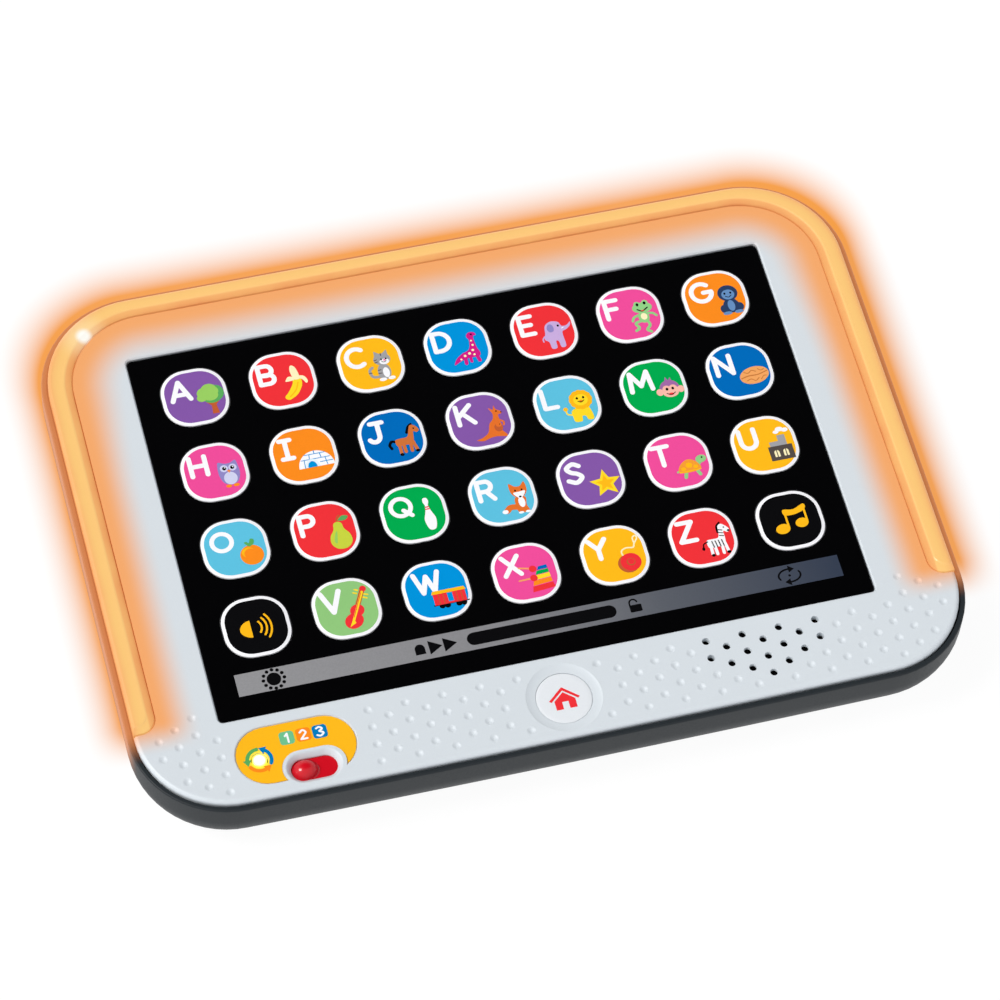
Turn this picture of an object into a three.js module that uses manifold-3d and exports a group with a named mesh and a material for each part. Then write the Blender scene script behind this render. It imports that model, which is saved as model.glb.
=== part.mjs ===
// Kids' learning tablet: a flat electronic toy with 28 picture keys behind one black screen plate.
// Millimetres. +X runs to the right, +Y to the tablet's top edge, +Z out of the screen.
// The origin is the middle of the rear face, on the plane that the toy lies on.
import * as THREE from "three";
import { mergeVertices } from "three/addons/utils/BufferGeometryUtils.js";
import Module from "manifold-3d";

const wasm = await Module();
wasm.setup();

// ---------------------------------------------------------------- driving dimensions
const WIDTH = 250.6;
const DEPTH = 178.6;
const TOP_CORNER = 31;
const BOTTOM_CORNER = 29;
const BOTTOM_BOW = 0.5; // how far the bottom edge swells in its middle
const CURVE_STEPS = 4; // three.js gives an arc twice this many straight steps

// Heights above the rear face.
const BORDER_TOP = 26;
const BEZEL_TOP = 25;
const BEZEL_BACK = 23;
const SCREEN_TOP = 24.2;
const SCREEN_BACK = 22.7;
const RIM_TOP = 23.5;
const SHELF = 21.9; // the shelf in the rear housing that the front parts sit on
const BOARD_TOP = 18.7;
const BOARD_BACK = 17.1;

const REAR_ROUND = 16.5; // radius of the quarter round from the side wall to the rear face
const WALL = 2;
const SIDE_WALL = 2.3;
const RIM_WALL = 1.6;
const FRONT_INSET = 2; // bezel and border sit this far inside the housing's outline
const FIT = 0.3; // gap between pieces that meet

const THROUGH = 20; // openings in the bezel are cut from below all its ribs
// Screen opening in the bezel.
const SCREEN = { x: 98.7, low: -60.6, high: 66.4, corner: 1.5 };
const LEDGE = 2.2;

// Keys.
const KEY_PITCH = 27;
const KEY_SIZE = 19.8;
const KEY_CORNER = 8;
const KEY_FLANGE = 1;
const KEY_FLANGE_THICK = 0.9;
const KEY_TOP_ROW = 49.7;
const KEY_ROWS = [
  ["a", "b", "c", "d", "e", "f", "g"],
  ["h", "i", "j", "k", "l", "m", "n"],
  ["o", "p", "q", "r", "s", "t", "u"],
  ["sound", "v", "w", "x", "y", "z", "music"],
];

// Light border: an upside-down U along the left, top and right edges.
const BORDER_SIDE = 116.3; // inner edge of its two legs
const BORDER_UNDER = 81.4; // inner edge of its top run
const BORDER_INNER_CORNER = 24;
const BORDER_END = -59.1;
const BORDER_END_ROUND = 5;

// Lower band of the bezel.
const HOME = { x: 0, y: -74.5, dish: 11.3, dish_deep: 0.7, hole: 8.4, button: 8.05 };
const SPEAKER = { x: 61.6, y: -71.6, r: 13.5, wall: 1.4, collar_low: 20.5 };
const HOLES = { dx: 5.53, dy: 5.7, top: -65.9, r: 1.1 };
const LABEL = { x: -79.1, y: -73.6, half: 17.5, r: 9.1, top: 24.7, thick: 0.25, gap: 0.2, under: 0.05 };
const WELL = { x: -75.1, y: -79.75, half: 9.3, r: 5.5, deep: 1.6, margin: 0.4 };
const SLOT = { x: -75.2, y: -80.1, half: 6.8, r: 3.7 };
const KNOB = { x: -77.9, rx: 3.6, ry: 3.2, rz: 2.9, travel: 5.2 };
const SLIDE_PLATE = { x0: -87.8, x1: -67.8, half_y: 4.7, thick: 1.1 };
const STAGE_LIGHT = { x: -90.1, y: -74.6, r: 2.2 };

// Rear: battery bay, its door and the case screws.
const BAY = { y: 11, half_x: 26.5, half_y: 17.4, ceiling: 14.4, wall: 1.8, foot: 2.2, foot_top: 3.6 };
const DOOR = { half_x: 28, half_y: 18.9, low: 0.5, high: 1.8, corner: 2.5 };
const CELL = { r: 5.25, body: 43.5, nub: 1, nub_r: 1.8, pitch: 11.5, z: 8.25, shift: 0.65 };
const CONTACT = { x: 25.6, thick: 0.5, size: 9 };
const SPRING = { reach: 3.6, wide: 3.2, narrow: 2 };
const BUTTON = { reach: 2.3, wide: 2, narrow: 1.6 }; // the bump that a cell's plus end rests on
const SCREW_HEAD = { r: 3, low: 3.8, high: 5.8 };
const SCREW_SHANK_R = 1.4;
const SCREW_TIP = 20;
const SCREW_SINK = { r: 3.4, top: 6 }; // the wide hole in the rear face above each case screw's head
const SCREW_HOLE_R = 1.8;
const BOSS = { r: 4.4, low: 0.6, top: 15 };
const POST = { r: 3.6, low: 15.3 }; // what each case screw threads into, under the bezel
const DOOR_SCREW = { y: -13, head_r: 2.8, low: 0.7, high: 2.1, tip: 7 };
const DOOR_BOSS = { r: 8, top: 10, hole_top: 9 };
const CASE_SCREWS = [
  [-108, 55],
  [108, 55],
  [-104, -50],
  [104, -50],
];

// ---------------------------------------------------------------- solids
function solid(geometry) {
  const bare = geometry.clone();
  bare.deleteAttribute("normal");
  bare.deleteAttribute("uv");
  const merged = mergeVertices(bare, 1e-4);
  return new wasm.Manifold(
    new wasm.Mesh({
      numProp: 3,
      vertProperties: new Float32Array(merged.attributes.position.array),
      triVerts: new Uint32Array(merged.index.array),
    }),
  );
}

function join(...solids) {
  return solids.reduce((sum, next) => sum.add(next));
}

function cut(body, ...tools) {
  return tools.reduce((left, tool) => left.subtract(tool), body);
}

// The curve's points, without those that fall on the next one where two arcs meet.
function corners(curve, steps) {
  const points = curve.getPoints(steps);
  return points.filter((p, i) => p.distanceTo(points[(i + 1) % points.length]) > 1e-3);
}

function straightened(shape, steps) {
  const plain = new THREE.Shape(corners(shape, steps));
  plain.holes = shape.holes.map((hole) => new THREE.Path(corners(hole, steps)));
  return plain;
}

function prism(shape, low, high, steps = CURVE_STEPS) {
  const options = { depth: high - low, bevelEnabled: false };
  const geometry = new THREE.ExtrudeGeometry(straightened(shape, steps), options);
  return solid(geometry.translate(0, 0, low));
}

function block(x0, x1, y0, y1, z0, z1) {
  const box = new THREE.BoxGeometry(x1 - x0, y1 - y0, z1 - z0);
  return solid(box.translate((x0 + x1) / 2, (y0 + y1) / 2, (z0 + z1) / 2));
}

// A round bar along Z; r_high lets it taper.
function rod(x, y, r, low, high, sides = 12, r_high = r) {
  const bar = new THREE.CylinderGeometry(r_high, r, high - low, sides);
  return solid(bar.rotateX(Math.PI / 2).translate(x, y, (low + high) / 2));
}

// A round bar along X.
function crossRod(x0, x1, y, z, r, r_end = r, sides = 10) {
  const bar = new THREE.CylinderGeometry(r_end, r, x1 - x0, sides);
  return solid(bar.rotateZ(-Math.PI / 2).translate((x0 + x1) / 2, y, z));
}

// A turned piece about a vertical axis. The profile is [radius, height] pairs from the bottom up.
function turned(profile, x, y, sides = 16) {
  const points = profile.map(([r, z]) => new THREE.Vector2(r, z));
  return solid(new THREE.LatheGeometry(points, sides).rotateX(Math.PI / 2).translate(x, y, 0));
}

function lead(points, r) {
  const route = new THREE.CatmullRomCurve3(points.map((p) => new THREE.Vector3(...p)));
  const section = new THREE.Shape().absarc(0, 0, r, 0, 2 * Math.PI);
  const options = { steps: 9, extrudePath: route, curveSegments: 3 };
  return solid(new THREE.ExtrudeGeometry(section, options));
}

// ---------------------------------------------------------------- outlines
// The tablet's outline, moved in by inset.
function outline(inset) {
  const x = WIDTH / 2 - inset;
  const low = -DEPTH / 2 + inset + BOTTOM_BOW;
  const high = DEPTH / 2 - inset;
  const top = TOP_CORNER - inset;
  const bottom = BOTTOM_CORNER - inset;
  const shape = new THREE.Shape();
  shape.moveTo(-x + bottom, low);
  shape.quadraticCurveTo(0, low - 2 * BOTTOM_BOW, x - bottom, low);
  shape.absarc(x - bottom, low + bottom, bottom, -Math.PI / 2, 0);
  shape.absarc(x - top, high - top, top, 0, Math.PI / 2);
  shape.absarc(-x + top, high - top, top, Math.PI / 2, Math.PI);
  shape.absarc(-x + bottom, low + bottom, bottom, Math.PI, 1.5 * Math.PI);
  return shape;
}

function roundedBox(x0, x1, y0, y1, r) {
  const shape = new THREE.Shape();
  shape.absarc(x1 - r, y0 + r, r, -Math.PI / 2, 0);
  shape.absarc(x1 - r, y1 - r, r, 0, Math.PI / 2);
  shape.absarc(x0 + r, y1 - r, r, Math.PI / 2, Math.PI);
  shape.absarc(x0 + r, y0 + r, r, Math.PI, 1.5 * Math.PI);
  return shape;
}

// A bar with two round ends, half long each way.
function obround(x, y, half, r) {
  const shape = new THREE.Shape();
  shape.absarc(x + half - r, y, r, -Math.PI / 2, Math.PI / 2);
  shape.absarc(x - half + r, y, r, Math.PI / 2, 1.5 * Math.PI);
  return shape;
}

// The light border's U, grown all round by grow, its inner edge by a further lip.
function borderShape(grow, lip = 0) {
  const out_x = WIDTH / 2 - FRONT_INSET + grow;
  const out_y = DEPTH / 2 - FRONT_INSET + grow;
  const out_r = TOP_CORNER - FRONT_INSET + grow;
  const in_x = BORDER_SIDE - grow - lip;
  const in_y = BORDER_UNDER - grow - lip;
  const in_r = BORDER_INNER_CORNER - grow - lip;
  const end = BORDER_END - grow;
  const round = Math.min(BORDER_END_ROUND, out_x - in_x - 1);
  const shape = new THREE.Shape();
  shape.moveTo(in_x + round, end);
  shape.lineTo(out_x, end);
  shape.absarc(out_x - out_r, out_y - out_r, out_r, 0, Math.PI / 2);
  shape.absarc(-out_x + out_r, out_y - out_r, out_r, Math.PI / 2, Math.PI);
  shape.lineTo(-out_x, end);
  shape.absarc(-in_x - round, end + round, round, -Math.PI / 2, 0);
  shape.absarc(-in_x + in_r, in_y - in_r, in_r, Math.PI, Math.PI / 2, true);
  shape.absarc(in_x - in_r, in_y - in_r, in_r, Math.PI / 2, 0, true);
  shape.absarc(in_x + round, end + round, round, Math.PI, 1.5 * Math.PI);
  return shape;
}

// A solid of the housing's form, with a quarter round of the given size at its rear.
function dished(wall, side) {
  const geometry = new THREE.ExtrudeGeometry(straightened(outline(REAR_ROUND), CURVE_STEPS), {
    depth: BORDER_TOP - REAR_ROUND,
    bevelThickness: REAR_ROUND - wall,
    bevelSize: REAR_ROUND - side,
    bevelSegments: 6,
  });
  return solid(geometry.translate(0, 0, REAR_ROUND));
}

// ---------------------------------------------------------------- rear housing
function doorShape(grow) {
  const low = BAY.y - DOOR.half_y - grow;
  const high = BAY.y + DOOR.half_y + grow;
  return roundedBox(-DOOR.half_x - grow, DOOR.half_x + grow, low, high, DOOR.corner + grow);
}

const DOOR_GAP = 0.4;
const DOOR_RECESS = { r: 3.2, top: 2.4 }; // where the door screw's head sits
const TONGUE_R = 5.8;
const CUP_R = 5.2;
const CUP_TOP = 4;
const HOOK = { x: 14, half: 4, z0: 2.4, z1: 3.6, reach: 31.5, root: 26.9, root_end: 28.1 };
const FITTING_LOW = 1.5; // fittings grow out of the rear wall from here
const BOARD_POST_R = 2.5;
const BOARD_POSTS = [
  [-80, 50],
  [80, 50],
  [-80, -30],
  [80, -30],
  [-40, -66],
];
const BORDER_LIGHT = { x: 110.2, y: 74.2, board_low: 17.4, board_high: 18.6, led_top: 21.2 };
const LIGHT_POST = { r: 2, low: 5 };
const LEAD_HOLE = { y: -0.5, z: 8.25, r: 1.2 };

function rearHousing() {
  let shell = dished(0, 0).intersect(block(-WIDTH, WIDTH, -DEPTH, DEPTH, -1, RIM_TOP));
  const hollow = dished(WALL, SIDE_WALL);
  shell = cut(shell, hollow, prism(outline(RIM_WALL), SHELF, BORDER_TOP + 1));

  const bay_x = BAY.half_x + BAY.wall;
  const bay_low = BAY.y - BAY.half_y - BAY.wall;
  const bay_high = BAY.y + BAY.half_y + BAY.wall;
  const bay_top = BAY.ceiling + BAY.wall - 0.4;
  const inside = hollow.intersect(block(-WIDTH, WIDTH, -DEPTH, DEPTH, -1, SHELF));
  const rear_wall = block(-100, 100, -80, 80, WALL / 4, WALL + 1);
  const foot = BAY.foot;
  const fittings = [
    block(-bay_x, bay_x, bay_low, bay_high, FITTING_LOW, bay_top),
    block(-bay_x - foot, bay_x + foot, bay_low - foot, bay_high + foot, FITTING_LOW, BAY.foot_top),
    rod(0, DOOR_SCREW.y, DOOR_BOSS.r, FITTING_LOW, DOOR_BOSS.top, 16),
  ];
  for (const [x, y] of CASE_SCREWS) fittings.push(rod(x, y, BOSS.r, BOSS.low, BOSS.top));
  for (const [x, y] of BOARD_POSTS) {
    fittings.push(rod(x, y, BOARD_POST_R, FITTING_LOW, BOARD_BACK - FIT, 8));
  }
  const light_post = BORDER_LIGHT.board_low - FIT;
  for (const side of [-1, 1]) {
    fittings.push(rod(side * BORDER_LIGHT.x, BORDER_LIGHT.y, LIGHT_POST.r, LIGHT_POST.low, light_post, 8));
  }
  const room = join(inside, rear_wall);
  shell = join(shell, ...fittings.map((piece) => piece.intersect(room)));

  const cuts = [
    block(-BAY.half_x, BAY.half_x, BAY.y - BAY.half_y, BAY.y + BAY.half_y, -1, BAY.ceiling),
    prism(doorShape(DOOR_GAP), -1, WALL, 2),
    rod(0, DOOR_SCREW.y, TONGUE_R + DOOR_GAP, -1, WALL, 20),
    rod(0, DOOR_SCREW.y, CUP_R + DOOR_GAP, -1, CUP_TOP + DOOR_GAP, 20),
    rod(0, DOOR_SCREW.y, SCREW_HOLE_R, -1, DOOR_BOSS.hole_top, 10),
    crossRod(-bay_x - 1, -BAY.half_x + 1, LEAD_HOLE.y, LEAD_HOLE.z, LEAD_HOLE.r),
  ];
  for (const side of [-1, 1]) {
    const x = side * HOOK.x;
    const wide = HOOK.half + DOOR_GAP;
    cuts.push(block(x - wide, x + wide, HOOK.root, HOOK.reach + 1, WALL, HOOK.z1 + 2 * DOOR_GAP));
  }
  for (const [x, y] of CASE_SCREWS) {
    cuts.push(rod(x, y, SCREW_SINK.r, -1, SCREW_SINK.top));
    cuts.push(rod(x, y, SCREW_HOLE_R, -1, BOSS.top + 1, 10));
  }
  return cut(shell, ...cuts);
}

function batteryDoor() {
  const plate = prism(doorShape(0), DOOR.low, DOOR.high, 2);
  const pieces = [
    rod(0, DOOR_SCREW.y, TONGUE_R, DOOR.low, DOOR.high, 20),
    rod(0, DOOR_SCREW.y, CUP_R, DOOR.low, CUP_TOP, 20),
  ];
  for (const side of [-1, 1]) {
    const x = side * HOOK.x;
    pieces.push(block(x - HOOK.half, x + HOOK.half, HOOK.root, HOOK.root_end, 1, HOOK.z1));
    pieces.push(block(x - HOOK.half, x + HOOK.half, HOOK.root, HOOK.reach, HOOK.z0, HOOK.z1));
  }
  const recess = rod(0, DOOR_SCREW.y, DOOR_RECESS.r, -1, DOOR_RECESS.top, 16);
  const hole = rod(0, DOOR_SCREW.y, SCREW_HOLE_R, -1, CUP_TOP + 1, 10);
  return cut(join(plate, ...pieces), recess, hole);
}

// A pan-head screw that points into the case: head bottom, shank start, shank end.
function screw(x, y, head_r, head_low, head_high, tip) {
  const shank = rod(x, y, SCREW_SHANK_R, head_high - 0.2, tip, 8);
  return join(rod(x, y, head_r, head_low, head_high), shank);
}

// ---------------------------------------------------------------- front
// Seven columns of holes, three deep in the middle and two at the sides, every other one half a row lower.
function speakerHoles() {
  const places = [];
  for (let column = -3; column <= 3; column++) {
    const away = Math.abs(column);
    const first = HOLES.top - (away % 2 ? 0 : HOLES.dy / 2);
    const rows = away < 2 ? 3 : 2;
    for (let row = 0; row < rows; row++) {
      places.push([SPEAKER.x + column * HOLES.dx, first - row * HOLES.dy]);
    }
  }
  return places;
}

const SKIRT_WALL = 1.6;
const SKIRT_START = 4; // the skirt under the lower band begins this far below the border's ends
const FRAME = { wider: 0.6, deep: 1.5, corner: 3 }; // the raised frame behind the screen opening

function frontBezel() {
  const border = prism(borderShape(FIT), BEZEL_BACK - 3, BORDER_TOP + 1);
  const plate = prism(outline(FRONT_INSET), BEZEL_BACK, BEZEL_TOP);
  const skirt = cut(
    prism(outline(FRONT_INSET), SHELF + 0.2, BEZEL_BACK + 0.2),
    prism(outline(FRONT_INSET + SKIRT_WALL), SHELF - 1, BEZEL_TOP),
    block(-WIDTH, WIDTH, BORDER_END - SKIRT_START, DEPTH, SHELF - 1, BEZEL_TOP),
  );
  const wide = LEDGE + FRAME.wider;
  const frame = prism(
    roundedBox(-SCREEN.x - wide, SCREEN.x + wide, SCREEN.low - wide, SCREEN.high + wide, FRAME.corner),
    SCREEN_BACK - FRAME.deep,
    BEZEL_BACK + 0.2,
    2,
  );
  const pieces = [plate, skirt, frame];
  for (const [x, y] of CASE_SCREWS) pieces.push(rod(x, y, POST.r, POST.low, BEZEL_BACK + 0.5, 10));
  pieces.push(rod(SPEAKER.x, SPEAKER.y, SPEAKER.r + SPEAKER.wall, SPEAKER.collar_low, BEZEL_BACK + 0.2, 24));
  const bezel = join(...pieces);

  const { x, low, high, corner } = SCREEN;
  const cuts = [
    border,
    prism(roundedBox(-x, x, low, high, corner), SCREEN_BACK - FIT, BORDER_TOP, 2),
    prism(roundedBox(-x + LEDGE, x - LEDGE, low + LEDGE, high - LEDGE, 1), POST.low, BORDER_TOP, 2),
    rod(SPEAKER.x, SPEAKER.y, SPEAKER.r + 0.4, THROUGH, BEZEL_BACK, 24),
    rod(HOME.x, HOME.y, HOME.hole, THROUGH, BORDER_TOP, 24),
    rod(HOME.x, HOME.y, HOME.hole, BEZEL_TOP - HOME.dish_deep, BEZEL_TOP + 0.01, 24, HOME.dish),
    rod(STAGE_LIGHT.x, STAGE_LIGHT.y, STAGE_LIGHT.r + FIT, THROUGH, BORDER_TOP, 12),
    prism(obround(SLOT.x, SLOT.y, SLOT.half, SLOT.r), THROUGH, BORDER_TOP, 6),
    prism(labelShape(LABEL.gap), LABEL.top - LABEL.thick - LABEL.under, BORDER_TOP, 6),
    slotFlare(),
  ];
  for (const [hole_x, hole_y] of speakerHoles()) {
    cuts.push(rod(hole_x, hole_y, HOLES.r, THROUGH, BORDER_TOP, 8));
  }
  for (const [sx, sy] of CASE_SCREWS) {
    cuts.push(rod(sx, sy, SCREW_HOLE_R - 0.1, POST.low - 1, SCREW_TIP + 1, 10));
  }
  return cut(bezel, ...cuts);
}

// The sloping walls that widen the switch slot into a well.
function slotFlare() {
  const slope = WELL.r - SLOT.r - WELL.margin;
  const options = { depth: 2, bevelThickness: WELL.deep, bevelSize: slope, bevelSegments: 1 };
  const slot = straightened(obround(SLOT.x, SLOT.y, SLOT.half, SLOT.r), 6);
  const flare = new THREE.ExtrudeGeometry(slot, options);
  return solid(flare.translate(0, 0, BEZEL_TOP));
}

function labelShape(grow) {
  return obround(LABEL.x, LABEL.y, LABEL.half + grow, LABEL.r + grow);
}

function stageLabel() {
  const low = LABEL.top - LABEL.thick;
  return cut(
    prism(labelShape(0), low, LABEL.top, 6),
    prism(obround(WELL.x, WELL.y, WELL.half, WELL.r), low - 1, LABEL.top + 1, 6),
    rod(STAGE_LIGHT.x, STAGE_LIGHT.y, STAGE_LIGHT.r + FIT, low - 1, LABEL.top + 1, 12),
  );
}

function lightBorder() {
  const strip = prism(borderShape(0), SHELF + 0.2, BORDER_TOP - 1.4);
  const shoulder = prism(borderShape(-0.4), BORDER_TOP - 1.5, BORDER_TOP - 0.6);
  const crown = prism(borderShape(-1.3), BORDER_TOP - 0.7, BORDER_TOP);
  const lip = prism(borderShape(0, 2), SHELF - FIT, BEZEL_BACK - FIT);
  const rim = prism(outline(SIDE_WALL + FIT), SHELF - 1, SHELF + 0.2);
  const clear = cut(block(-WIDTH, WIDTH, -DEPTH, DEPTH, SHELF - 1, SHELF + 0.2), rim);
  const slit = block(-WIDTH, WIDTH, BORDER_END - 3, BORDER_END, SHELF - 1, SHELF + 0.2);
  return cut(join(strip, shoulder, crown, lip), clear, slit);
}

function keyOutline(x, y, grow) {
  const half = KEY_SIZE / 2 + grow;
  return roundedBox(x - half, x + half, y - half, y + half, KEY_CORNER + grow);
}

function screenPlate() {
  const { x, low, high, corner } = SCREEN;
  const shape = roundedBox(-x + FIT, x - FIT, low + FIT, high - FIT, corner);
  for (const { x: kx, y: ky } of keyPlaces) shape.holes.push(keyOutline(kx, ky, FIT));
  return prism(shape, SCREEN_BACK, SCREEN_TOP, 2);
}

function key() {
  const flange_top = SCREEN_BACK - FIT;
  return join(
    prism(keyOutline(0, 0, KEY_FLANGE), flange_top - KEY_FLANGE_THICK, flange_top, 1),
    prism(keyOutline(0, 0, 0), flange_top - 0.2, SCREEN_TOP, 2),
  );
}

const DOME = { base: 6.4, top: 4.8, inner: 5, inner_top: 3.6, low: BOARD_TOP + 0.2, sheet: 0.9, high: 21.2 };
const DOME_ROOF = 0.7;
const SHEET_MARGIN = 10; // how far the keypad's sheet runs past the outer keys' middles

function rubberKeypad() {
  const half_x = 3 * KEY_PITCH + SHEET_MARGIN + 1;
  const low = KEY_TOP_ROW - 3 * KEY_PITCH - SHEET_MARGIN;
  const shape = roundedBox(-half_x, half_x, low, KEY_TOP_ROW + SHEET_MARGIN, 3);
  const sheet = prism(shape, DOME.low, DOME.low + DOME.sheet, 2);
  const sheet_top = DOME.low + DOME.sheet - 0.1;
  const domes = keyPlaces.map(({ x, y }) => rod(x, y, DOME.base, sheet_top, DOME.high, 6, DOME.top));
  const hollows = keyPlaces.map(({ x, y }) =>
    rod(x, y, DOME.inner, DOME.low - 1, DOME.high - DOME_ROOF, 6, DOME.inner_top),
  );
  return cut(join(sheet, ...domes), ...hollows);
}

// The board's wide part behind the keys, and the tab behind the controls of the lower band.
const BOARD = { half_x: 94, low: -43, high: 62, corner: 3 };
const BOARD_TAB = { left: -98, right: 14, low: -84 };
const CHIP = { x: 55, y: 11, half: 7, thick: 1.8 };

function mainBoard() {
  const { half_x, low, high, corner } = BOARD;
  const keys_part = roundedBox(-half_x, half_x, low, high, corner);
  const tab = roundedBox(BOARD_TAB.left, BOARD_TAB.right, BOARD_TAB.low, low + corner, corner);
  return join(prism(keys_part, BOARD_BACK, BOARD_TOP, 2), prism(tab, BOARD_BACK, BOARD_TOP, 2));
}

function controlChip() {
  const { x, y, half, thick } = CHIP;
  const high = BOARD_BACK - 0.1;
  return block(x - half, x + half, y - half, y + half, high - thick, high);
}

// ---------------------------------------------------------------- controls in the lower band
const HOME_STEM = { r: 3, low: 20.3 };
const HOME_FLANGE = { wider: 1.5, thick: 1 };
const HOME_DOME = { r: 5, r_top: 3.6, top: 20, inner: 4, inner_top: 2.8, roof: 0.5 };

function homeButton() {
  const flange_top = BEZEL_BACK - FIT;
  return join(
    rod(HOME.x, HOME.y, HOME.button + HOME_FLANGE.wider, flange_top - HOME_FLANGE.thick, flange_top, 24),
    rod(HOME.x, HOME.y, HOME.button, flange_top - 0.5, BEZEL_TOP - 0.5, 24),
    rod(HOME.x, HOME.y, HOME_STEM.r, HOME_STEM.low, flange_top - 0.5, 10),
  );
}

function homeDome() {
  const { r, r_top, top, inner, inner_top, roof } = HOME_DOME;
  const body = rod(HOME.x, HOME.y, r, DOME.low, top, 12, r_top);
  return cut(body, rod(HOME.x, HOME.y, inner, DOME.low - 1, top - roof, 12, inner_top));
}

function modeSlider() {
  const plate_top = BEZEL_BACK - 0.2;
  const { x0, x1, half_y, thick } = SLIDE_PLATE;
  const plate = block(x0, x1, SLOT.y - half_y, SLOT.y + half_y, plate_top - thick, plate_top);
  const ball = new THREE.SphereGeometry(1, 14, 10).rotateX(Math.PI / 2);
  const dome = solid(ball.scale(KNOB.rx, KNOB.ry, KNOB.rz).translate(KNOB.x, SLOT.y, plate_top - 0.1));
  const upper = dome.intersect(block(x0, x1, -DEPTH, 0, plate_top - 0.5, BORDER_TOP));
  const foot = block(KNOB.x - 1, KNOB.x + 1, SLOT.y - 1, SLOT.y + 1, 20, plate_top - 0.5);
  return join(plate, upper, foot);
}

const SWITCH = { half_x: 7, half_y: 2.8, top: 21.2, well_low: 19.6, foot_room: 1.4 };

function modeSwitchBody() {
  const x = KNOB.x + KNOB.travel / 2;
  const y = SLOT.y;
  const { half_x, half_y, top, well_low, foot_room } = SWITCH;
  const body = block(x - half_x, x + half_x, y - half_y, y + half_y, BOARD_TOP + 0.1, top);
  const reach = KNOB.travel / 2 + foot_room;
  return cut(body, block(x - reach, x + reach, y - foot_room, y + foot_room, well_low, top + 1));
}

function stageLed() {
  const { x, y, r } = STAGE_LIGHT;
  return join(
    rod(x, y, r + 0.5, BOARD_TOP + 0.1, BOARD_TOP + 1, 12),
    rod(x, y, r, BOARD_TOP + 1, LABEL.top - 0.6, 12),
    rod(x, y, r, LABEL.top - 0.6, LABEL.top, 12, r * 0.7),
  );
}

// ---------------------------------------------------------------- speaker
function speakerFrame() {
  const profile = [
    [0, 13.5],
    [7.5, 13.5],
    [7.5, 17.2],
    [12.2, 20.8],
    [SPEAKER.r, 20.8],
    [SPEAKER.r, 22.6],
    [12.6, 22.6],
    [12.6, 21.2],
    [7.6, 18],
    [0, 18],
  ];
  return turned(profile, SPEAKER.x, SPEAKER.y);
}

function speakerCone() {
  const profile = [
    [0, 20.5],
    [2, 20.2],
    [3.6, 19.2],
    [12.1, 21.8],
    [12.1, 22.2],
    [3.7, 19.7],
    [2.2, 20.6],
    [0, 21],
  ];
  return turned(profile, SPEAKER.x, SPEAKER.y);
}

// ---------------------------------------------------------------- power
function cell(number) {
  const y = BAY.y + (2 - number) * CELL.pitch;
  const way = number === 2 ? -1 : 1;
  const start = -way * (CELL.body + CELL.nub) / 2 + way * CELL.shift;
  const end = start + way * CELL.body;
  const body = crossRod(Math.min(start, end), Math.max(start, end), y, CELL.z, CELL.r, CELL.r, 16);
  const tip = end + way * CELL.nub;
  const root = end - way * 0.5;
  const nub = crossRod(Math.min(root, tip), Math.max(root, tip), y, CELL.z, CELL.nub_r);
  return join(body, nub);
}

// A contact plate at one end of the bay; each entry of springs says whether that cell's end is its minus.
function contact(side, numbers, springs) {
  const rows = numbers.map((n) => BAY.y + (2 - n) * CELL.pitch);
  const half = CONTACT.size / 2;
  const inner = side * CONTACT.x;
  const outer = side * (CONTACT.x + CONTACT.thick);
  const plate = block(
    Math.min(inner, outer),
    Math.max(inner, outer),
    Math.min(...rows) - half,
    Math.max(...rows) + half,
    CELL.z - half,
    CELL.z + half,
  );
  const ends = rows.map((y, i) => {
    const { reach, wide, narrow } = springs[i] ? SPRING : BUTTON;
    const tip = side * (CONTACT.x - reach);
    const root = side * (CONTACT.x + 0.2);
    const low_r = side > 0 ? narrow : wide;
    const high_r = side > 0 ? wide : narrow;
    return crossRod(Math.min(tip, root), Math.max(tip, root), y, CELL.z, low_r, high_r);
  });
  return join(plate, ...ends);
}

const BORDER_LED = { half_x: 6, half_y: 3.5, r: 2, r_top: 1.2, round: 0.8 };

function borderLed() {
  const { board_low, board_high, led_top } = BORDER_LIGHT;
  const { half_x, half_y, r, r_top, round } = BORDER_LED;
  return join(
    block(-half_x, half_x, -half_y, half_y, board_low, board_high),
    rod(0, 0, r, board_high - 0.2, led_top - round, 10),
    rod(0, 0, r, led_top - round, led_top, 10, r_top),
  );
}

// ---------------------------------------------------------------- the assembly
const keyPlaces = KEY_ROWS.flatMap((row, r) =>
  row.map((name, c) => ({ name, x: (c - 3) * KEY_PITCH, y: KEY_TOP_ROW - r * KEY_PITCH })),
);

const KEY_COLOURS = {
  a: 0x8056a0,
  b: 0xeb3237,
  c: 0xfab919,
  d: 0x0091d7,
  e: 0xeb3237,
  f: 0xeb4b96,
  g: 0xf88a1e,
  h: 0xeb4b96,
  i: 0xf88a1e,
  j: 0x0069b4,
  k: 0x8056a0,
  l: 0x5abedc,
  m: 0x00a54b,
  n: 0x0069b4,
  o: 0x5abedc,
  p: 0xeb3237,
  q: 0x00a54b,
  r: 0x5abedc,
  s: 0x8056a0,
  t: 0xeb4b96,
  u: 0xfab919,
  sound: 0x0a0a0c,
  v: 0x8cc378,
  w: 0x0091d7,
  x: 0xeb4b96,
  y: 0xfab919,
  z: 0xeb3237,
  music: 0x0a0a0c,
};

const tablet = new THREE.Group();

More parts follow.
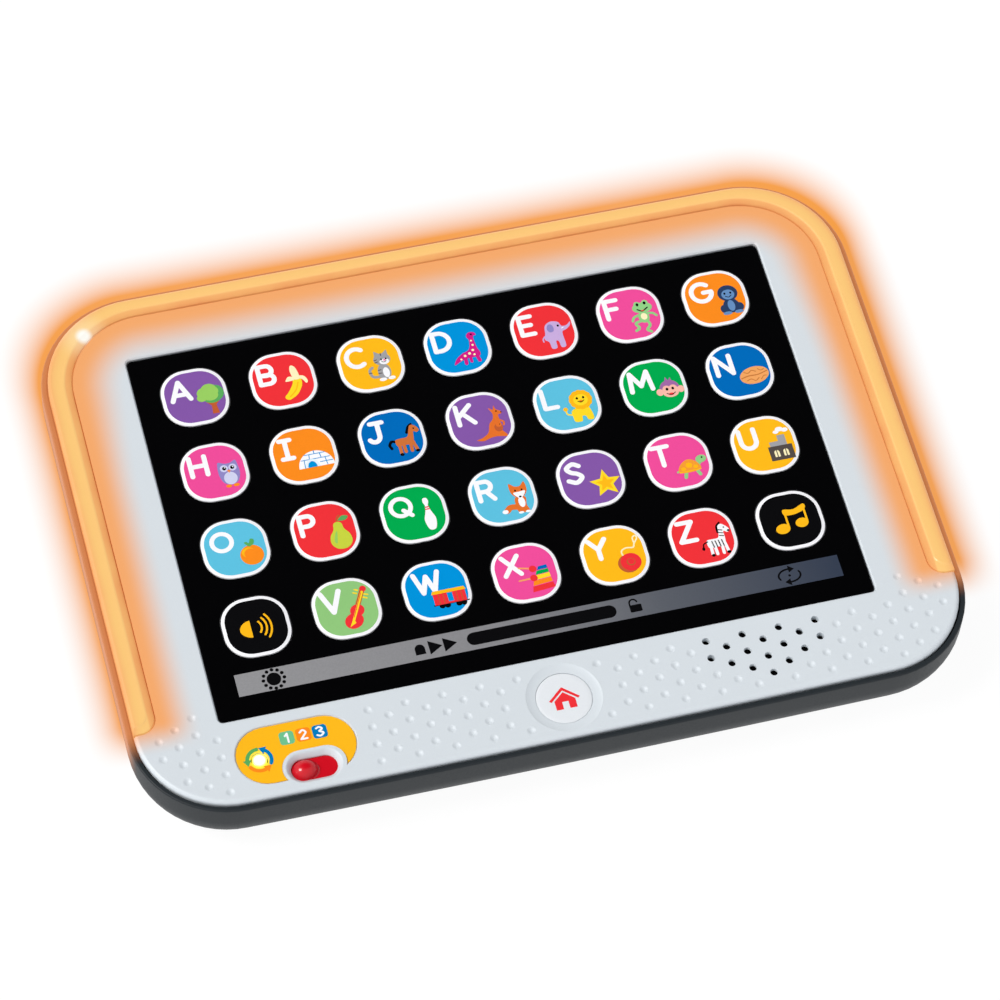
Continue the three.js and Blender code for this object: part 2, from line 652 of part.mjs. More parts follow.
function add(name, shape, colour, roughness, metalness = 0, parent = tablet) {
  const data = shape.getMesh();
  const geometry = new THREE.BufferGeometry();
  geometry.setAttribute("position", new THREE.BufferAttribute(data.vertProperties, 3));
  geometry.setIndex(new THREE.BufferAttribute(data.triVerts, 1));
  geometry.computeVertexNormals();
  const mesh = new THREE.Mesh(
    geometry,
    new THREE.MeshStandardMaterial({ color: colour, roughness, metalness }),
  );
  mesh.name = name;
  parent.add(mesh);
  return mesh;
}

const WHITE_ABS = 0xdadfe4;
const GREY_ABS = 0x434c4e;
const STEEL = 0xb8bcc0;
const NICKEL = 0xc9c6bd;

add("rear_housing", rearHousing(), GREY_ABS, 0.5);
add("front_bezel", frontBezel(), WHITE_ABS, 0.4);
add("light_border", lightBorder(), 0xfbc678, 0.3);
add("screen_plate", screenPlate(), 0x060607, 0.15);
add("rubber_keypad", rubberKeypad(), 0x9aa0a4, 0.8);
add("main_board", mainBoard(), 0x1d5b39, 0.6);
add("control_chip", controlChip(), 0x151517, 0.5);

const key_solid = key();
for (const { name, x, y } of keyPlaces) {
  add(`key_${name}`, key_solid, KEY_COLOURS[name], 0.25).position.set(x, y, 0);
}

add("home_button", homeButton(), 0xeef1f4, 0.35);
add("home_dome", homeDome(), 0x9aa0a4, 0.8);
add("stage_label", stageLabel(), 0xfbb816, 0.35);
add("stage_led", stageLed(), 0xfff6a8, 0.2);
add("mode_slider", modeSlider(), 0xc80a1e, 0.3);
add("mode_switch_body", modeSwitchBody(), STEEL, 0.35, 0.9);
add("speaker_frame", speakerFrame(), STEEL, 0.4, 0.9);
add("speaker_cone", speakerCone(), 0x1c1c1e, 0.9);

add("battery_door", batteryDoor(), GREY_ABS, 0.5);
const { head_r, low: head_low, high: head_high, tip: door_tip } = DOOR_SCREW;
const door_screw = screw(0, DOOR_SCREW.y, head_r, head_low, head_high, door_tip);
add("battery_door_screw", door_screw, STEEL, 0.35, 0.9);
for (const number of [1, 2, 3]) add(`battery_${number}`, cell(number), 0xc27b2c, 0.35, 0.5);
add("contact_negative", contact(-1, [1], [true]), NICKEL, 0.3, 1);
add("contact_positive", contact(1, [3], [false]), NICKEL, 0.3, 1);
add("contact_bridge_right", contact(1, [1, 2], [false, true]), NICKEL, 0.3, 1);
add("contact_bridge_left", contact(-1, [2, 3], [false, true]), NICKEL, 0.3, 1);

for (const [name, side] of [
  ["border_led_left", -1],
  ["border_led_right", 1],
]) {
  const mesh = add(name, borderLed(), 0xfff2c4, 0.3);
  mesh.position.set(side * BORDER_LIGHT.x, BORDER_LIGHT.y, 0);
  mesh.rotation.z = (-side * Math.PI) / 4;
}

CASE_SCREWS.forEach(([x, y], i) => {
  const { r, low, high } = SCREW_HEAD;
  add(`case_screw_${i + 1}`, screw(x, y, r, low, high, SCREW_TIP), STEEL, 0.35, 0.9);
});

const battery_lead = [
  [-26.6, LEAD_HOLE.y, LEAD_HOLE.z],
  [-31, LEAD_HOLE.y, LEAD_HOLE.z],
  [-36, -4, 11],
  [-40, -9, 14.5],
  [-41, -11, 16.6],
];
add("battery_lead", lead(battery_lead, 0.7), 0xc01818, 0.5);
const speaker_lead = [
  [52.6, -71, 15.2],
  [42, -70, 12.5],
  [26, -66, 12],
  [14, -62, 14.4],
  [10, -60, 16.6],
];
add("speaker_lead", lead(speaker_lead, 0.7), 0x202022, 0.5);

export default tablet;
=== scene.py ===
"""The toy tablet as it looks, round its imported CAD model. Sizes are in millimetres until a mesh is made."""

import math
from functools import partialmethod

import bpy
from mathutils import Matrix, Vector
from mathutils.geometry import delaunay_2d_cdt


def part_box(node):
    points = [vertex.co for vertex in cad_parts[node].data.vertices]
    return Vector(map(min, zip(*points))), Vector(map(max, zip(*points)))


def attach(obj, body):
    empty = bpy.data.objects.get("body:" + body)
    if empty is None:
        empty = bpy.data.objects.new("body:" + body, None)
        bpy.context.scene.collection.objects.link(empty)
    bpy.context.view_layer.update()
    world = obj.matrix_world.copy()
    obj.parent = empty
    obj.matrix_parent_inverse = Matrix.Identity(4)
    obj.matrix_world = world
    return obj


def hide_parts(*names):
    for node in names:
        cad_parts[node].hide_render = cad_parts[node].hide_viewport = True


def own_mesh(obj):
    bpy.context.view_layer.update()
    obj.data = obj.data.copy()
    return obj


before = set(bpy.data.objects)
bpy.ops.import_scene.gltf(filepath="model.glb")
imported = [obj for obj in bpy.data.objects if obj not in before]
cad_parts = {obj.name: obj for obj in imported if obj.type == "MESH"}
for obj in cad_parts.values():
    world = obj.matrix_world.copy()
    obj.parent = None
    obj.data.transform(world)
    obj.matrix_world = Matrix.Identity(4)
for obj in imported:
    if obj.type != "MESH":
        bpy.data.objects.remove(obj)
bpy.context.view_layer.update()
scene = bpy.context.scene
MM = 0.001
TAU = 2 * math.pi


def node_box(name):
    """A CAD node's lowest and highest corner in millimetres."""
    low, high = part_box(name)
    return low / MM, high / MM


# ------------------------------------------------------------------ sizes that follow the CAD
HOUSING_LOW, HOUSING_HIGH = node_box("rear_housing")
HALF_X = HOUSING_HIGH.x
HIGH_Y = HOUSING_HIGH.y
LOW_Y = HOUSING_LOW.y
RIM_TOP = HOUSING_HIGH.z
TOP_CORNER = 31.0
BOTTOM_CORNER = 29.0
BOW = 0.5
REAR_ROUND = 16.5
WALL = 2.0
SIDE_WALL = 2.3
RIM_WALL = 1.6
SHELF = 21.9
INSET = 2.0

BORDER_SIDE = 116.3
BORDER_UNDER = 81.4
BORDER_INNER_CORNER = 24.0
BORDER_END = -59.1
BORDER_OUT_X = HALF_X - INSET
BORDER_OUT_Y = HIGH_Y - INSET
BORDER_OUT_CORNER = TOP_CORNER - INSET

BEZEL_TOP = node_box("front_bezel")[1].z
SCREEN_LOW, SCREEN_HIGH = node_box("screen_plate")
SCREEN_TOP = SCREEN_HIGH.z
STRIP_HALF = 91.0
STRIP_Y = -49.5
KEY_PITCH = 27.0
TOP_KEYS_Y = 49.7
KEY_HALF = 9.9
KEY_CORNER = 8.0
KEY_OUTLINE = 1.05
SLOT = (-75.2, -79.9, 6.8, 3.5)
KNOB_X = -77.9
WELL = (-75.1, -79.75, 9.3, 5.5)
LABEL = (-79.1, -73.6, 17.5, 9.1)
LABEL_TOP = node_box("stage_label")[1].z
LED = (-90.1, -74.6, 2.2)
HOME = (0.0, -74.5)
HOME_R = 8.28
SPEAKER = (61.6, -71.6)
HOLE_PITCH = 5.53
HOLE_ROW = 5.7
HOLE_TOP = -65.9
CASE_SCREWS = [(-108, 55), (108, 55), (-104, -50), (104, -50)]
BOARD_POSTS = [(-80, 50), (80, 50), (-80, -30), (80, -30), (-40, -66)]
DOOR_SCREW = (0.0, -13.0)
DOOR_HALF = (28.0, 18.9)
BAY_Y = 11.0
CELL_PITCH = 11.5
CELL_Z = 8.25


# ------------------------------------------------------------------ outlines, all running anticlockwise
def arc(x, y, r, start, end, steps=12, ry=None):
    ry = r if ry is None else ry
    turns = [math.radians(start + (end - start) * i / steps) for i in range(steps + 1)]
    return [(x + r * math.cos(a), y + ry * math.sin(a)) for a in turns]


def outline(inset, steps=14):
    """The tablet's outline moved in by inset; its bottom edge is a shallow bow."""
    x = HALF_X - inset
    low = LOW_Y + inset + BOW
    high = HIGH_Y - inset
    top = TOP_CORNER - inset
    bottom = BOTTOM_CORNER - inset
    straight = x - bottom
    shares = [i / steps for i in range(1, steps)]
    points = [(-straight + 2 * straight * t, low - 4 * BOW * t * (1 - t)) for t in shares]
    points += arc(x - bottom, low + bottom, bottom, -90, 0, steps)
    points += arc(x - top, high - top, top, 0, 90, steps)
    points += arc(-x + top, high - top, top, 90, 180, steps)
    return points + arc(-x + bottom, low + bottom, bottom, 180, 270, steps)


def rounded_box(x0, x1, y0, y1, r, steps=8):
    points = arc(x1 - r, y0 + r, r, -90, 0, steps)
    points += arc(x1 - r, y1 - r, r, 0, 90, steps)
    points += arc(x0 + r, y1 - r, r, 90, 180, steps)
    return points + arc(x0 + r, y0 + r, r, 180, 270, steps)


def square(x, y, half, r, steps=8):
    return rounded_box(x - half, x + half, y - half, y + half, r, steps)


def obround(spec, grow=0.0, steps=14):
    x, y, half, r = spec
    reach = half - r
    r = r + grow
    points = arc(x + reach, y, r, -90, 90, steps)
    return points + arc(x - reach, y, r, 90, 270, steps)


def circle(x, y, r, steps=32, ry=None):
    return arc(x, y, r, 0, 360, steps, ry)[:-1]


def border(outer, inner, steps=16):
    """The light border's U with its outer edge moved in by outer and its inner edge by inner."""
    out_x = BORDER_OUT_X - outer
    out_y = BORDER_OUT_Y - outer
    out_r = BORDER_OUT_CORNER - outer
    in_x = BORDER_SIDE + inner
    in_y = BORDER_UNDER + inner
    in_r = BORDER_INNER_CORNER + inner
    end = BORDER_END + inner
    turn = min(5.0, out_x - in_x - 0.6)
    points = [(out_x, end)]
    points += arc(out_x - out_r, out_y - out_r, out_r, 0, 90, steps)
    points += arc(-out_x + out_r, out_y - out_r, out_r, 90, 180, steps)
    points += [(-out_x, end)]
    points += arc(-in_x - turn, end + turn, turn, -90, 0, 8)
    points += arc(-in_x + in_r, in_y - in_r, in_r, 180, 90, steps)
    points += arc(in_x - in_r, in_y - in_r, in_r, 90, 0, steps)
    return points + arc(in_x + turn, end + turn, turn, 180, 270, 8)


def blob(points, steps=5):
    """A closed smooth curve through the points."""
    n = len(points)
    made = []
    for i in range(n):
        a, b, c, d = (Vector(points[(i + k) % n]) for k in (-1, 0, 1, 2))
        for s in range(steps):
            t = s / steps
            p = 0.5 * (2 * b + (c - a) * t + (2 * a - 5 * b + 4 * c - d) * t**2)
            p = p + 0.5 * (3 * b - a - 3 * c + d) * t**3
            made.append((p.x, p.y))
    return made


def flowing(points, steps=6):
    """An open smooth curve through the points, of two or three numbers each."""
    points = [Vector(p) for p in points]
    points = [2 * points[0] - points[1]] + points + [2 * points[-1] - points[-2]]
    made = []
    for i in range(1, len(points) - 2):
        a, b, c, d = points[i - 1 : i + 3]
        for s in range(steps):
            t = s / steps
            p = 0.5 * (2 * b + (c - a) * t + (2 * a - 5 * b + 4 * c - d) * t**2)
            made.append(p + 0.5 * (3 * b - a - 3 * c + d) * t**3)
    made.append(points[-2])
    return [tuple(p) for p in made]


def capsule(a, b, width, steps=7):
    turn = math.degrees(math.atan2(b[1] - a[1], b[0] - a[0]))
    points = arc(b[0], b[1], width / 2, turn - 90, turn + 90, steps)
    return points + arc(a[0], a[1], width / 2, turn + 90, turn + 270, steps)


def stroke(width, *points):
    pairs = zip(points[:-1], points[1:])
    return [capsule(a, b, width) for a, b in pairs if math.dist(a, b) > 1e-4]


def brush(width, *points):
    return stroke(width, *flowing(points))


def pairs(numbers):
    return list(zip(numbers[::2], numbers[1::2]))


def moved(polygons, x, y, scale=1.0):
    return [[(x + px * scale, y + py * scale) for px, py in poly] for poly in polygons]


# ------------------------------------------------------------------ closed bodies
class Shell:
    """Closed bodies gathered for one mesh, each face with the number of its material."""

    def __init__(self):
        self.verts = []
        self.faces = []
        self.marks = []

    def add(self, verts, faces, mark=0):
        start = len(self.verts)
        self.verts += [tuple(v) for v in verts]
        self.faces += [[start + i for i in face] for face in faces]
        self.marks += [mark] * len(faces)
        return self

    def loft(self, rings, mark=0, ring_closed=False):
        n = len(rings[0])
        count = len(rings)
        faces = []
        for k in range(count if ring_closed else count - 1):
            low = k * n
            high = (k + 1) % count * n
            for i in range(n):
                j = (i + 1) % n
                faces.append([low + i, low + j, high + j, high + i])
        if not ring_closed:
            faces.append(list(range(n))[::-1])
            faces.append([(count - 1) * n + i for i in range(n)])
        return self.add([p for ring in rings for p in ring], faces, mark)

    def layers(self, shape, steps, mark=0, ring_closed=False):
        """A loft of shape(*numbers) at each height; steps are (height, *numbers)."""
        rings = [[(x, y, z) for x, y in shape(*rest)] for z, *rest in steps]
        return self.loft(rings, mark, ring_closed)

    def prism(self, points, low, high, mark=0):
        return self.layers(lambda: points, [(low,), (high,)], mark)

    def across(self, points, x0, x1):
        """A prism along X; points are (y, z)."""
        return self.loft([[(x, y, z) for y, z in points] for x in (x0, x1)])

    def take(self, obj):
        """Adds the mesh of an object and removes the object."""
        mesh = obj.data
        self.add([v.co / MM for v in mesh.vertices], [p.vertices for p in mesh.polygons])
        bpy.data.objects.remove(obj)
        return self

    def block(self, x0, x1, y0, y1, z0, z1, mark=0):
        return self.prism([(x0, y0), (x1, y0), (x1, y1), (x0, y1)], z0, z1, mark)

    def turned(self, x, y, profile, mark=0, steps=48):
        """A turned body about a vertical axis; profile is (radius, height) from the bottom up."""
        return self.layers(lambda r: circle(x, y, r, steps), [(z, r) for r, z in profile], mark)

    def rolled(self, y, z, profile, mark=0, steps=32):
        """A turned body about an axis along X; profile is (radius, x) with x rising."""
        rings = [[(x, y + a, z + b) for a, b in circle(0, 0, r, steps)] for r, x in profile]
        return self.loft(rings, mark)

    def tube(self, path, r, mark=0, steps=10):
        """A round wire along a path of points."""
        path = [Vector(p) for p in path]
        side = None
        rings = []
        for i, p in enumerate(path):
            ahead = (path[min(i + 1, len(path) - 1)] - path[max(i - 1, 0)]).normalized()
            if side is None:
                side = ahead.orthogonal().normalized()
            side = (side - ahead * side.dot(ahead)).normalized()
            up = ahead.cross(side)
            ring = [p + side * (r * a) + up * (r * b) for a, b in circle(0, 0, 1, steps)]
            rings.append([tuple(q) for q in ring])
        return self.loft(rings, mark)

    def printed(self, polygons, low, high, mark=0):
        """A flat layer of print: the union of the polygons, as one thin closed body."""
        flat = []
        loops = []
        for poly in polygons:
            loops.append(list(range(len(flat), len(flat) + len(poly))))
            flat += [Vector(p) for p in poly]
        points, _, faces, _, _, sources = delaunay_2d_cdt(flat, [], loops, 1, 1e-4)
        n = len(points)
        facing = []
        for (a, b, c), source in zip(faces, sources):
            if not source:
                continue
            area = (points[b] - points[a]).cross(points[c] - points[a])
            facing.append((a, b, c) if area > 0 else (a, c, b))
        edges = {}
        for a, b, c in facing:
            for pair in ((a, b), (b, c), (c, a)):
                edges[pair] = True
        rim = [pair for pair in edges if (pair[1], pair[0]) not in edges]
        verts = [(p.x, p.y, low) for p in points] + [(p.x, p.y, high) for p in points]
        made = [(n + a, n + b, n + c) for a, b, c in facing]
        made += [(c, b, a) for a, b, c in facing]
        made += [(a, b, n + b, n + a) for a, b in rim]
        return self.add(verts, made, mark)


def mesh_object(name, shell, materials=()):
    mesh = bpy.data.meshes.new(name)
    mesh.from_pydata([(x * MM, y * MM, z * MM) for x, y, z in shell.verts], [], shell.faces)
    for material in materials:
        mesh.materials.append(material)
    mesh.polygons.foreach_set("material_index", shell.marks)
    obj = bpy.data.objects.new(name, mesh)
    scene.collection.objects.link(obj)
    return obj


def carve(obj, shell, operation="DIFFERENCE", overlapping=False):
    """Applies a boolean with the shell's bodies and removes them."""
    tool = mesh_object("tool", shell)
    bit = obj.modifiers.new("carve", "BOOLEAN")
    bit.object = tool
    bit.operation = operation
    bit.solver = "EXACT"
    bit.use_self = overlapping
    bpy.context.view_layer.update()
    depsgraph = bpy.context.evaluated_depsgraph_get()
    made = bpy.data.meshes.new_from_object(obj.evaluated_get(depsgraph))
    obj.modifiers.clear()
    old = obj.data
    obj.data = made
    bpy.data.meshes.remove(old)
    used = tool.data
    bpy.data.objects.remove(tool)
    bpy.data.meshes.remove(used)
    return obj


def finished(obj, body, nodes, angle=32, weighted=True):
    """Shades the piece smooth up to the angle, ties it to its CAD body and hides the CAD nodes it stands for.
    """
    mesh = obj.data
    mesh.polygons.foreach_set("use_smooth", [True] * len(mesh.polygons))
    mesh.set_sharp_from_angle(angle=math.radians(angle))
    if weighted:
        even = obj.modifiers.new("even", "WEIGHTED_NORMAL")
        even.keep_sharp = True
        even.weight = 60
    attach(obj, body)
    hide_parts(*nodes)
    return obj


def print_on(name, shell, inks, body):
    """Print that rides with the piece under it."""
    obj = mesh_object(name, shell, inks)
    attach(obj, body)


# ------------------------------------------------------------------ materials
def srgb(r, g, b):
    def one(c):
        c = c / 255
        return c / 12.92 if c <= 0.04045 else ((c + 0.055) / 1.055) ** 2.4

    return (one(r), one(g), one(b), 1.0)


def shade(colour, factor):
    return tuple(min(1.0, c * factor) for c in colour[:3]) + (1.0,)


class Value:
    """A number or colour in a node tree, worked on with the usual signs."""

    def __init__(self, tree, socket):
        self.tree = tree
        self.socket = socket

    def maths(self, operation, *others, clamp=False):
        inputs = dict(enumerate((self, *others)))
        return node(self.tree, "ShaderNodeMath", inputs, operation=operation, use_clamp=clamp)

    __add__ = partialmethod(maths, "ADD")
    __sub__ = partialmethod(maths, "SUBTRACT")
    __mul__ = partialmethod(maths, "MULTIPLY")
    __truediv__ = partialmethod(maths, "DIVIDE")
    __abs__ = partialmethod(maths, "ABSOLUTE")

    def step(self, start, end):
        """0 before start, 1 after end, smooth between them; start may be above end."""
        low, high = sorted((start, end))
        inputs = {"Value": self, "From Min": low, "From Max": high}
        inputs["To Min"], inputs["To Max"] = (0.0, 1.0) if start < end else (1.0, 0.0)
        return node(self.tree, "ShaderNodeMapRange", inputs, "Result", interpolation_type="SMOOTHSTEP")

    def spread(self, low, high):
        """The usual span of a noise, stretched from low to high."""
        inputs = {"Value": self, "From Min": 0.3, "From Max": 0.7, "To Min": low, "To Max": high}
        return node(self.tree, "ShaderNodeMapRange", inputs, "Result")

    def blend(self, a, b):
        """Colour a where this is 0 and b where it is 1."""
        return blend_colour(self.tree, self, a, b)


def feed(tree, target, inputs):
    """Sets or links the inputs of a node, each named or numbered."""
    for key, value in inputs.items():
        if isinstance(value, Value):
            tree.links.new(value.socket, target.inputs[key])
        else:
            target.inputs[key].default_value = value


def node(tree, kind, inputs=None, output=0, **settings):
    """Adds a node and gives back one of its outputs."""
    made = tree.nodes.new(kind)
    for key, value in settings.items():
        setattr(made, key, value)
    feed(tree, made, inputs or {})
    return Value(tree, made.outputs[output])


def blend_colour(tree, share, a, b):
    return node(tree, "ShaderNodeMix", {0: share, 6: a, 7: b}, 2, data_type="RGBA")


def place(tree):
    return node(tree, "ShaderNodeTexCoord", output="Object")


def coordinates(tree):
    """The row frame's x, y and z in millimetres."""
    split = node(tree, "ShaderNodeSeparateXYZ", {0: place(tree)}).socket.node
    return [Value(tree, split.outputs[i]) * 1000.0 for i in range(3)]


def noise(tree, size_mm, detail=3.0, stretch=None):
    """Noise whose grains are about size_mm across."""
    at = place(tree)
    if stretch:
        at = node(tree, "ShaderNodeMapping", {"Vector": at, "Scale": stretch})
    inputs = {"Vector": at, "Scale": 1 / (size_mm * MM), "Detail": detail, "Roughness": 0.55}
    return node(tree, "ShaderNodeTexNoise", inputs, "Fac")


def bumps(tree, height, depth_mm):
    inputs = {"Strength": 1.0, "Distance": depth_mm * MM, "Height": height}
    return node(tree, "ShaderNodeBump", inputs)


def colour_ramp(tree, value, stops):
    """The colours of (place from 0 to 1, colour) stops along a value."""
    made = node(tree, "ShaderNodeValToRGB", {0: value})
    elements = made.socket.node.color_ramp.elements
    for end in (0, -1):
        elements[end].position, elements[end].color = stops[end]
    for where, colour in stops[1:-1]:
        elements.new(where).color = colour
    return made


def material_of(name, looks):
    """A material whose shader takes the inputs that looks(tree) gives."""
    material = bpy.data.materials.new(name)
    material.use_nodes = True
    tree = material.node_tree
    feed(tree, tree.nodes["Principled BSDF"], looks(tree))
    return material


def plastic(name, colour, rough, grain=0.35, depth=0.004, vary=0.05, specular=0.5, colouring=None):
    """Moulded plastic: a fine grain in height and roughness, and slow, faint changes of colour.
    colouring(tree, colour) may work on the colour before it reaches the shader."""

    def looks(tree):
        fine = noise(tree, grain)
        mixed = noise(tree, 14, 2).blend(shade(colour, 1 - vary), shade(colour, 1 + vary))
        mixed = fine.spread(0.0, 0.16).blend(mixed, shade(colour, 0.8))
        if colouring:
            mixed = colouring(tree, mixed)
        return {
            "Base Color": mixed,
            "Roughness": fine.spread(rough * 0.85, rough * 1.15),
            "Specular IOR Level": specular,
            "Normal": bumps(tree, fine, depth),
        }

    return material_of(name, looks)


def metal(name, colour, rough):
    def looks(tree):
        fine = noise(tree, 0.4, 4)
        return {
            "Base Color": noise(tree, 4, 2).blend(shade(colour, 0.86), shade(colour, 1.06)),
            "Roughness": fine.spread(rough * 0.7, rough * 1.3),
            "Metallic": 1.0,
            "Normal": bumps(tree, fine, 0.005),
        }

    return material_of(name, looks)


def corner_distance(x, y, half_x, top, corner):
    """How far (x, y) lies outside a U open at the bottom, negative inside it."""
    over_x = (abs(x) - (half_x - corner)).maths("MAXIMUM", 0.0)
    over_y = (y - (top - corner)).maths("MAXIMUM", 0.0)
    return (over_x * over_x + over_y * over_y).maths("SQRT") - corner


def border_distance(x, y):
    return corner_distance(x, y, BORDER_SIDE, BORDER_UNDER, BORDER_INNER_CORNER)


def near_point(x, y, at_x, at_y):
    dx = x - at_x
    dy = y - at_y
    return (dx * dx + dy * dy).maths("SQRT")


GLOW = srgb(240, 162, 92)
RIM_GLOW = srgb(232, 146, 90)


def bezel_glow(tree, colour):
    """The border's light on the white plastic next to it."""
    x, y, _ = coordinates(tree)
    narrower_above = y.step(20.0, 70.0).maths("MULTIPLY_ADD", -0.22, 1.0)
    near = (border_distance(x, y) * narrower_above).step(-13.0, -1.5)
    return (near * y.step(-67.0, -56.0) * 0.95).blend(colour, GLOW)


def rim_glow(tree, colour):
    """The border's light on the housing's edge beside it, part of it shining through the wall."""
    _, y, z = coordinates(tree)
    share = z.step(11.5, 19.0) * y.step(-68.0, -57.0) * 0.96
    through = share.blend((0, 0, 0, 1), RIM_GLOW)
    feed(tree, tree.nodes["Principled BSDF"], {"Emission Color": through, "Emission Strength": 0.5})
    return share.blend(colour, shade(RIM_GLOW, 0.3))


BORDER_WIDTH = 7.0
BRIGHT_SPOT = (-109.0, 77.2)


def border_looks(tree):
    """Clear amber plastic lit from inside, with painted shade in the creases of its profile and towards its
    edges, and one bright spot.
    """
    x, y, _ = coordinates(tree)
    streak = noise(tree, 5, 3, (0.35, 0.35, 1))
    # Painted shade: darker on the inner wall and shoulder of the profile and towards its outer edge,
    # brightest across the crown.
    stops = [
        (0.0, srgb(226, 146, 86)),
        (0.7, srgb(238, 162, 98)),
        (1.7, srgb(243, 172, 106)),
        (2.2, srgb(253, 200, 124)),
        (4.2, srgb(249, 198, 120)),
        (5.4, srgb(247, 190, 117)),
        (6.3, srgb(245, 178, 112)),
        (7.0, srgb(238, 164, 100)),
    ]
    stops = [(depth / BORDER_WIDTH, colour) for depth, colour in stops]
    lit = colour_ramp(tree, border_distance(x, y) / BORDER_WIDTH, stops)
    lit = streak.spread(0.0, 0.3).blend(lit, srgb(250, 206, 124))
    spot = near_point(x, y, *BRIGHT_SPOT)
    lit = (spot.step(10.0, 1.0) * 0.45).blend(lit, srgb(255, 236, 190))
    lit = spot.step(3.2, 1.0).blend(lit, srgb(255, 254, 246))
    return {
        "Base Color": blend_colour(tree, 0.52, lit, srgb(40, 20, 8)),
        "Emission Color": lit,
        "Emission Strength": 0.5,
        "Roughness": 0.3,
        "Specular IOR Level": 0.35,
        "Normal": bumps(tree, streak, 0.03),
    }


def screen_looks(tree):
    fine = noise(tree, 0.6, 2)
    return {
        "Base Color": fine.blend((0.0006, 0.0006, 0.0008, 1), (0.0014, 0.0014, 0.0017, 1)),
        "Roughness": noise(tree, 26).spread(0.1, 0.17),
        "Specular IOR Level": 0.2,
        "Normal": bumps(tree, fine, 0.0006),
    }


def strip_looks(tree):
    """Silver print that darkens to slate at its right end."""
    stops = [
        (0.0, srgb(146, 146, 148)),
        (0.42, srgb(134, 134, 137)),
        (0.7, srgb(88, 92, 100)),
        (1.0, srgb(48, 58, 76)),
    ]
    along = colour_ramp(tree, (coordinates(tree)[0] + STRIP_HALF) / (2 * STRIP_HALF), stops)
    grain = noise(tree, 0.5, 2)
    return {
        "Base Color": grain.spread(0.0, 0.12).blend(along, (0.05, 0.05, 0.06, 1)),
        "Roughness": grain.spread(0.28, 0.4),
        "Specular IOR Level": 0.3,
    }


def board_looks(tree):
    """Green solder resist with faint copper runs under it."""
    inputs = {"Scale": 240.0, "Vector": place(tree)}
    cells = node(tree, "ShaderNodeTexVoronoi", inputs, "Distance", feature="DISTANCE_TO_EDGE")
    runs = cells.step(0.02, 0.05)
    colour = runs.blend(srgb(70, 140, 84), srgb(26, 84, 50))
    return {"Base Color": colour, "Roughness": 0.38, "Normal": bumps(tree, runs, 0.03)}


def lens_looks(tree):
    x, y, _ = coordinates(tree)
    hot = near_point(x, y, LED[0], LED[1]).step(2.2, 0.9)
    colour = hot.blend(srgb(250, 226, 60), srgb(255, 255, 250))
    return {"Base Color": colour, "Emission Color": colour, "Emission Strength": 0.75, "Roughness": 0.2}


def label_glow(tree, colour):
    """The stage light's yellow shine on the label round it."""
    x, y, _ = coordinates(tree)
    return near_point(x, y, LED[0], LED[1]).step(4.0, 2.2).blend(colour, srgb(250, 238, 70))


PRINT_COLOURS = """
white f6f6f9, purple 8256a4, red ec3238, yellow fbb81a, sky 0090d6, deep_sky 007ab8, pink ec4c98,
orange f88a1e, blue 0068b6, cyan 5cbedc, green 00a64c, lime 8ec47a, ink 09090b, leaf 96ca60,
dark_leaf 58a85c, bark be5c32, lemon fcd828, cream faeebe, grey 9e9ea2, dark_grey 524a46,
magenta cd1e84, lilac c6aada, navy 2a3e62, steel_blue 648cbc, owl 8e86c2, pale ced0ec, ice e2f0fa,
brown cc7038, rust e2702a, skin f6b8a8, mauve 9e68a4, nut eea460, dark_nut c47438, frog 8ecc84,
shell f29c34, pear c4d040, teal 6ebe8c
"""
PRINTS = dict(entry.split() for entry in PRINT_COLOURS.split(","))
made_prints = {}


def ink(name):
    """Glossy print of one of the named colours."""
    if name not in made_prints:
        colour = srgb(*bytes.fromhex(PRINTS[name]))
        made_prints[name] = plastic("print_" + name, colour, 0.22, 0.5, 0.0008, 0.03, 0.25)
    return made_prints[name]


WHITE = srgb(211, 218, 223)
GREY = srgb(32, 38, 42)
bezel_plastic = plastic("white_shell", WHITE, 0.42, 0.3, 0.003, 0.015, 0.4, bezel_glow)
housing_plastic = plastic("grey_shell", GREY, 0.5, 0.3, 0.01, 0.06, 0.28, rim_glow)
door_plastic = plastic("grey_door", GREY, 0.5, 0.3, 0.01, 0.06, 0.28)
home_plastic = plastic("white_button", srgb(226, 230, 234), 0.34, 0.3, 0.002, 0.015, 0.4)
label_print = plastic("yellow_label", srgb(250, 183, 24), 0.34, 0.5, 0.001, 0.03, 0.3, label_glow)
red_plastic = plastic("red_gloss", srgb(206, 14, 32), 0.2, 0.6, 0.001, 0.06, 0.5)
rubber = plastic("grey_rubber", srgb(150, 156, 160), 0.8, 0.5, 0.02, 0.08)
black_resin = plastic("black_resin", srgb(22, 22, 25), 0.5, 0.2, 0.01, 0.1)
cone_paper = plastic("black_paper", srgb(26, 26, 28), 0.9, 0.25, 0.03, 0.15)
red_wire = plastic("red_sheath", srgb(190, 26, 26), 0.45, 0.4, 0.004, 0.05)
black_wire = plastic("black_sheath", srgb(30, 30, 32), 0.45, 0.4, 0.004, 0.05)
wrap_dark = plastic("cell_wrap_dark", srgb(30, 52, 84), 0.3, 0.5, 0.002, 0.05)
wrap_light = plastic("cell_wrap_light", srgb(206, 210, 214), 0.3, 0.5, 0.002, 0.04)
led_plastic = plastic("clear_lens", srgb(255, 238, 190), 0.2, 0.5, 0.001, 0.02)
steel = metal("zinc_steel", (0.62, 0.63, 0.65, 1), 0.34)
nickel = metal("nickel", (0.72, 0.7, 0.64, 1), 0.26)
amber = material_of("amber_light_guide", border_looks)
black_gloss = material_of("black_gloss", screen_looks)
silver = material_of("silver_print", strip_looks)
board = material_of("circuit_board", board_looks)
lit_lens = material_of("lit_lens", lens_looks)


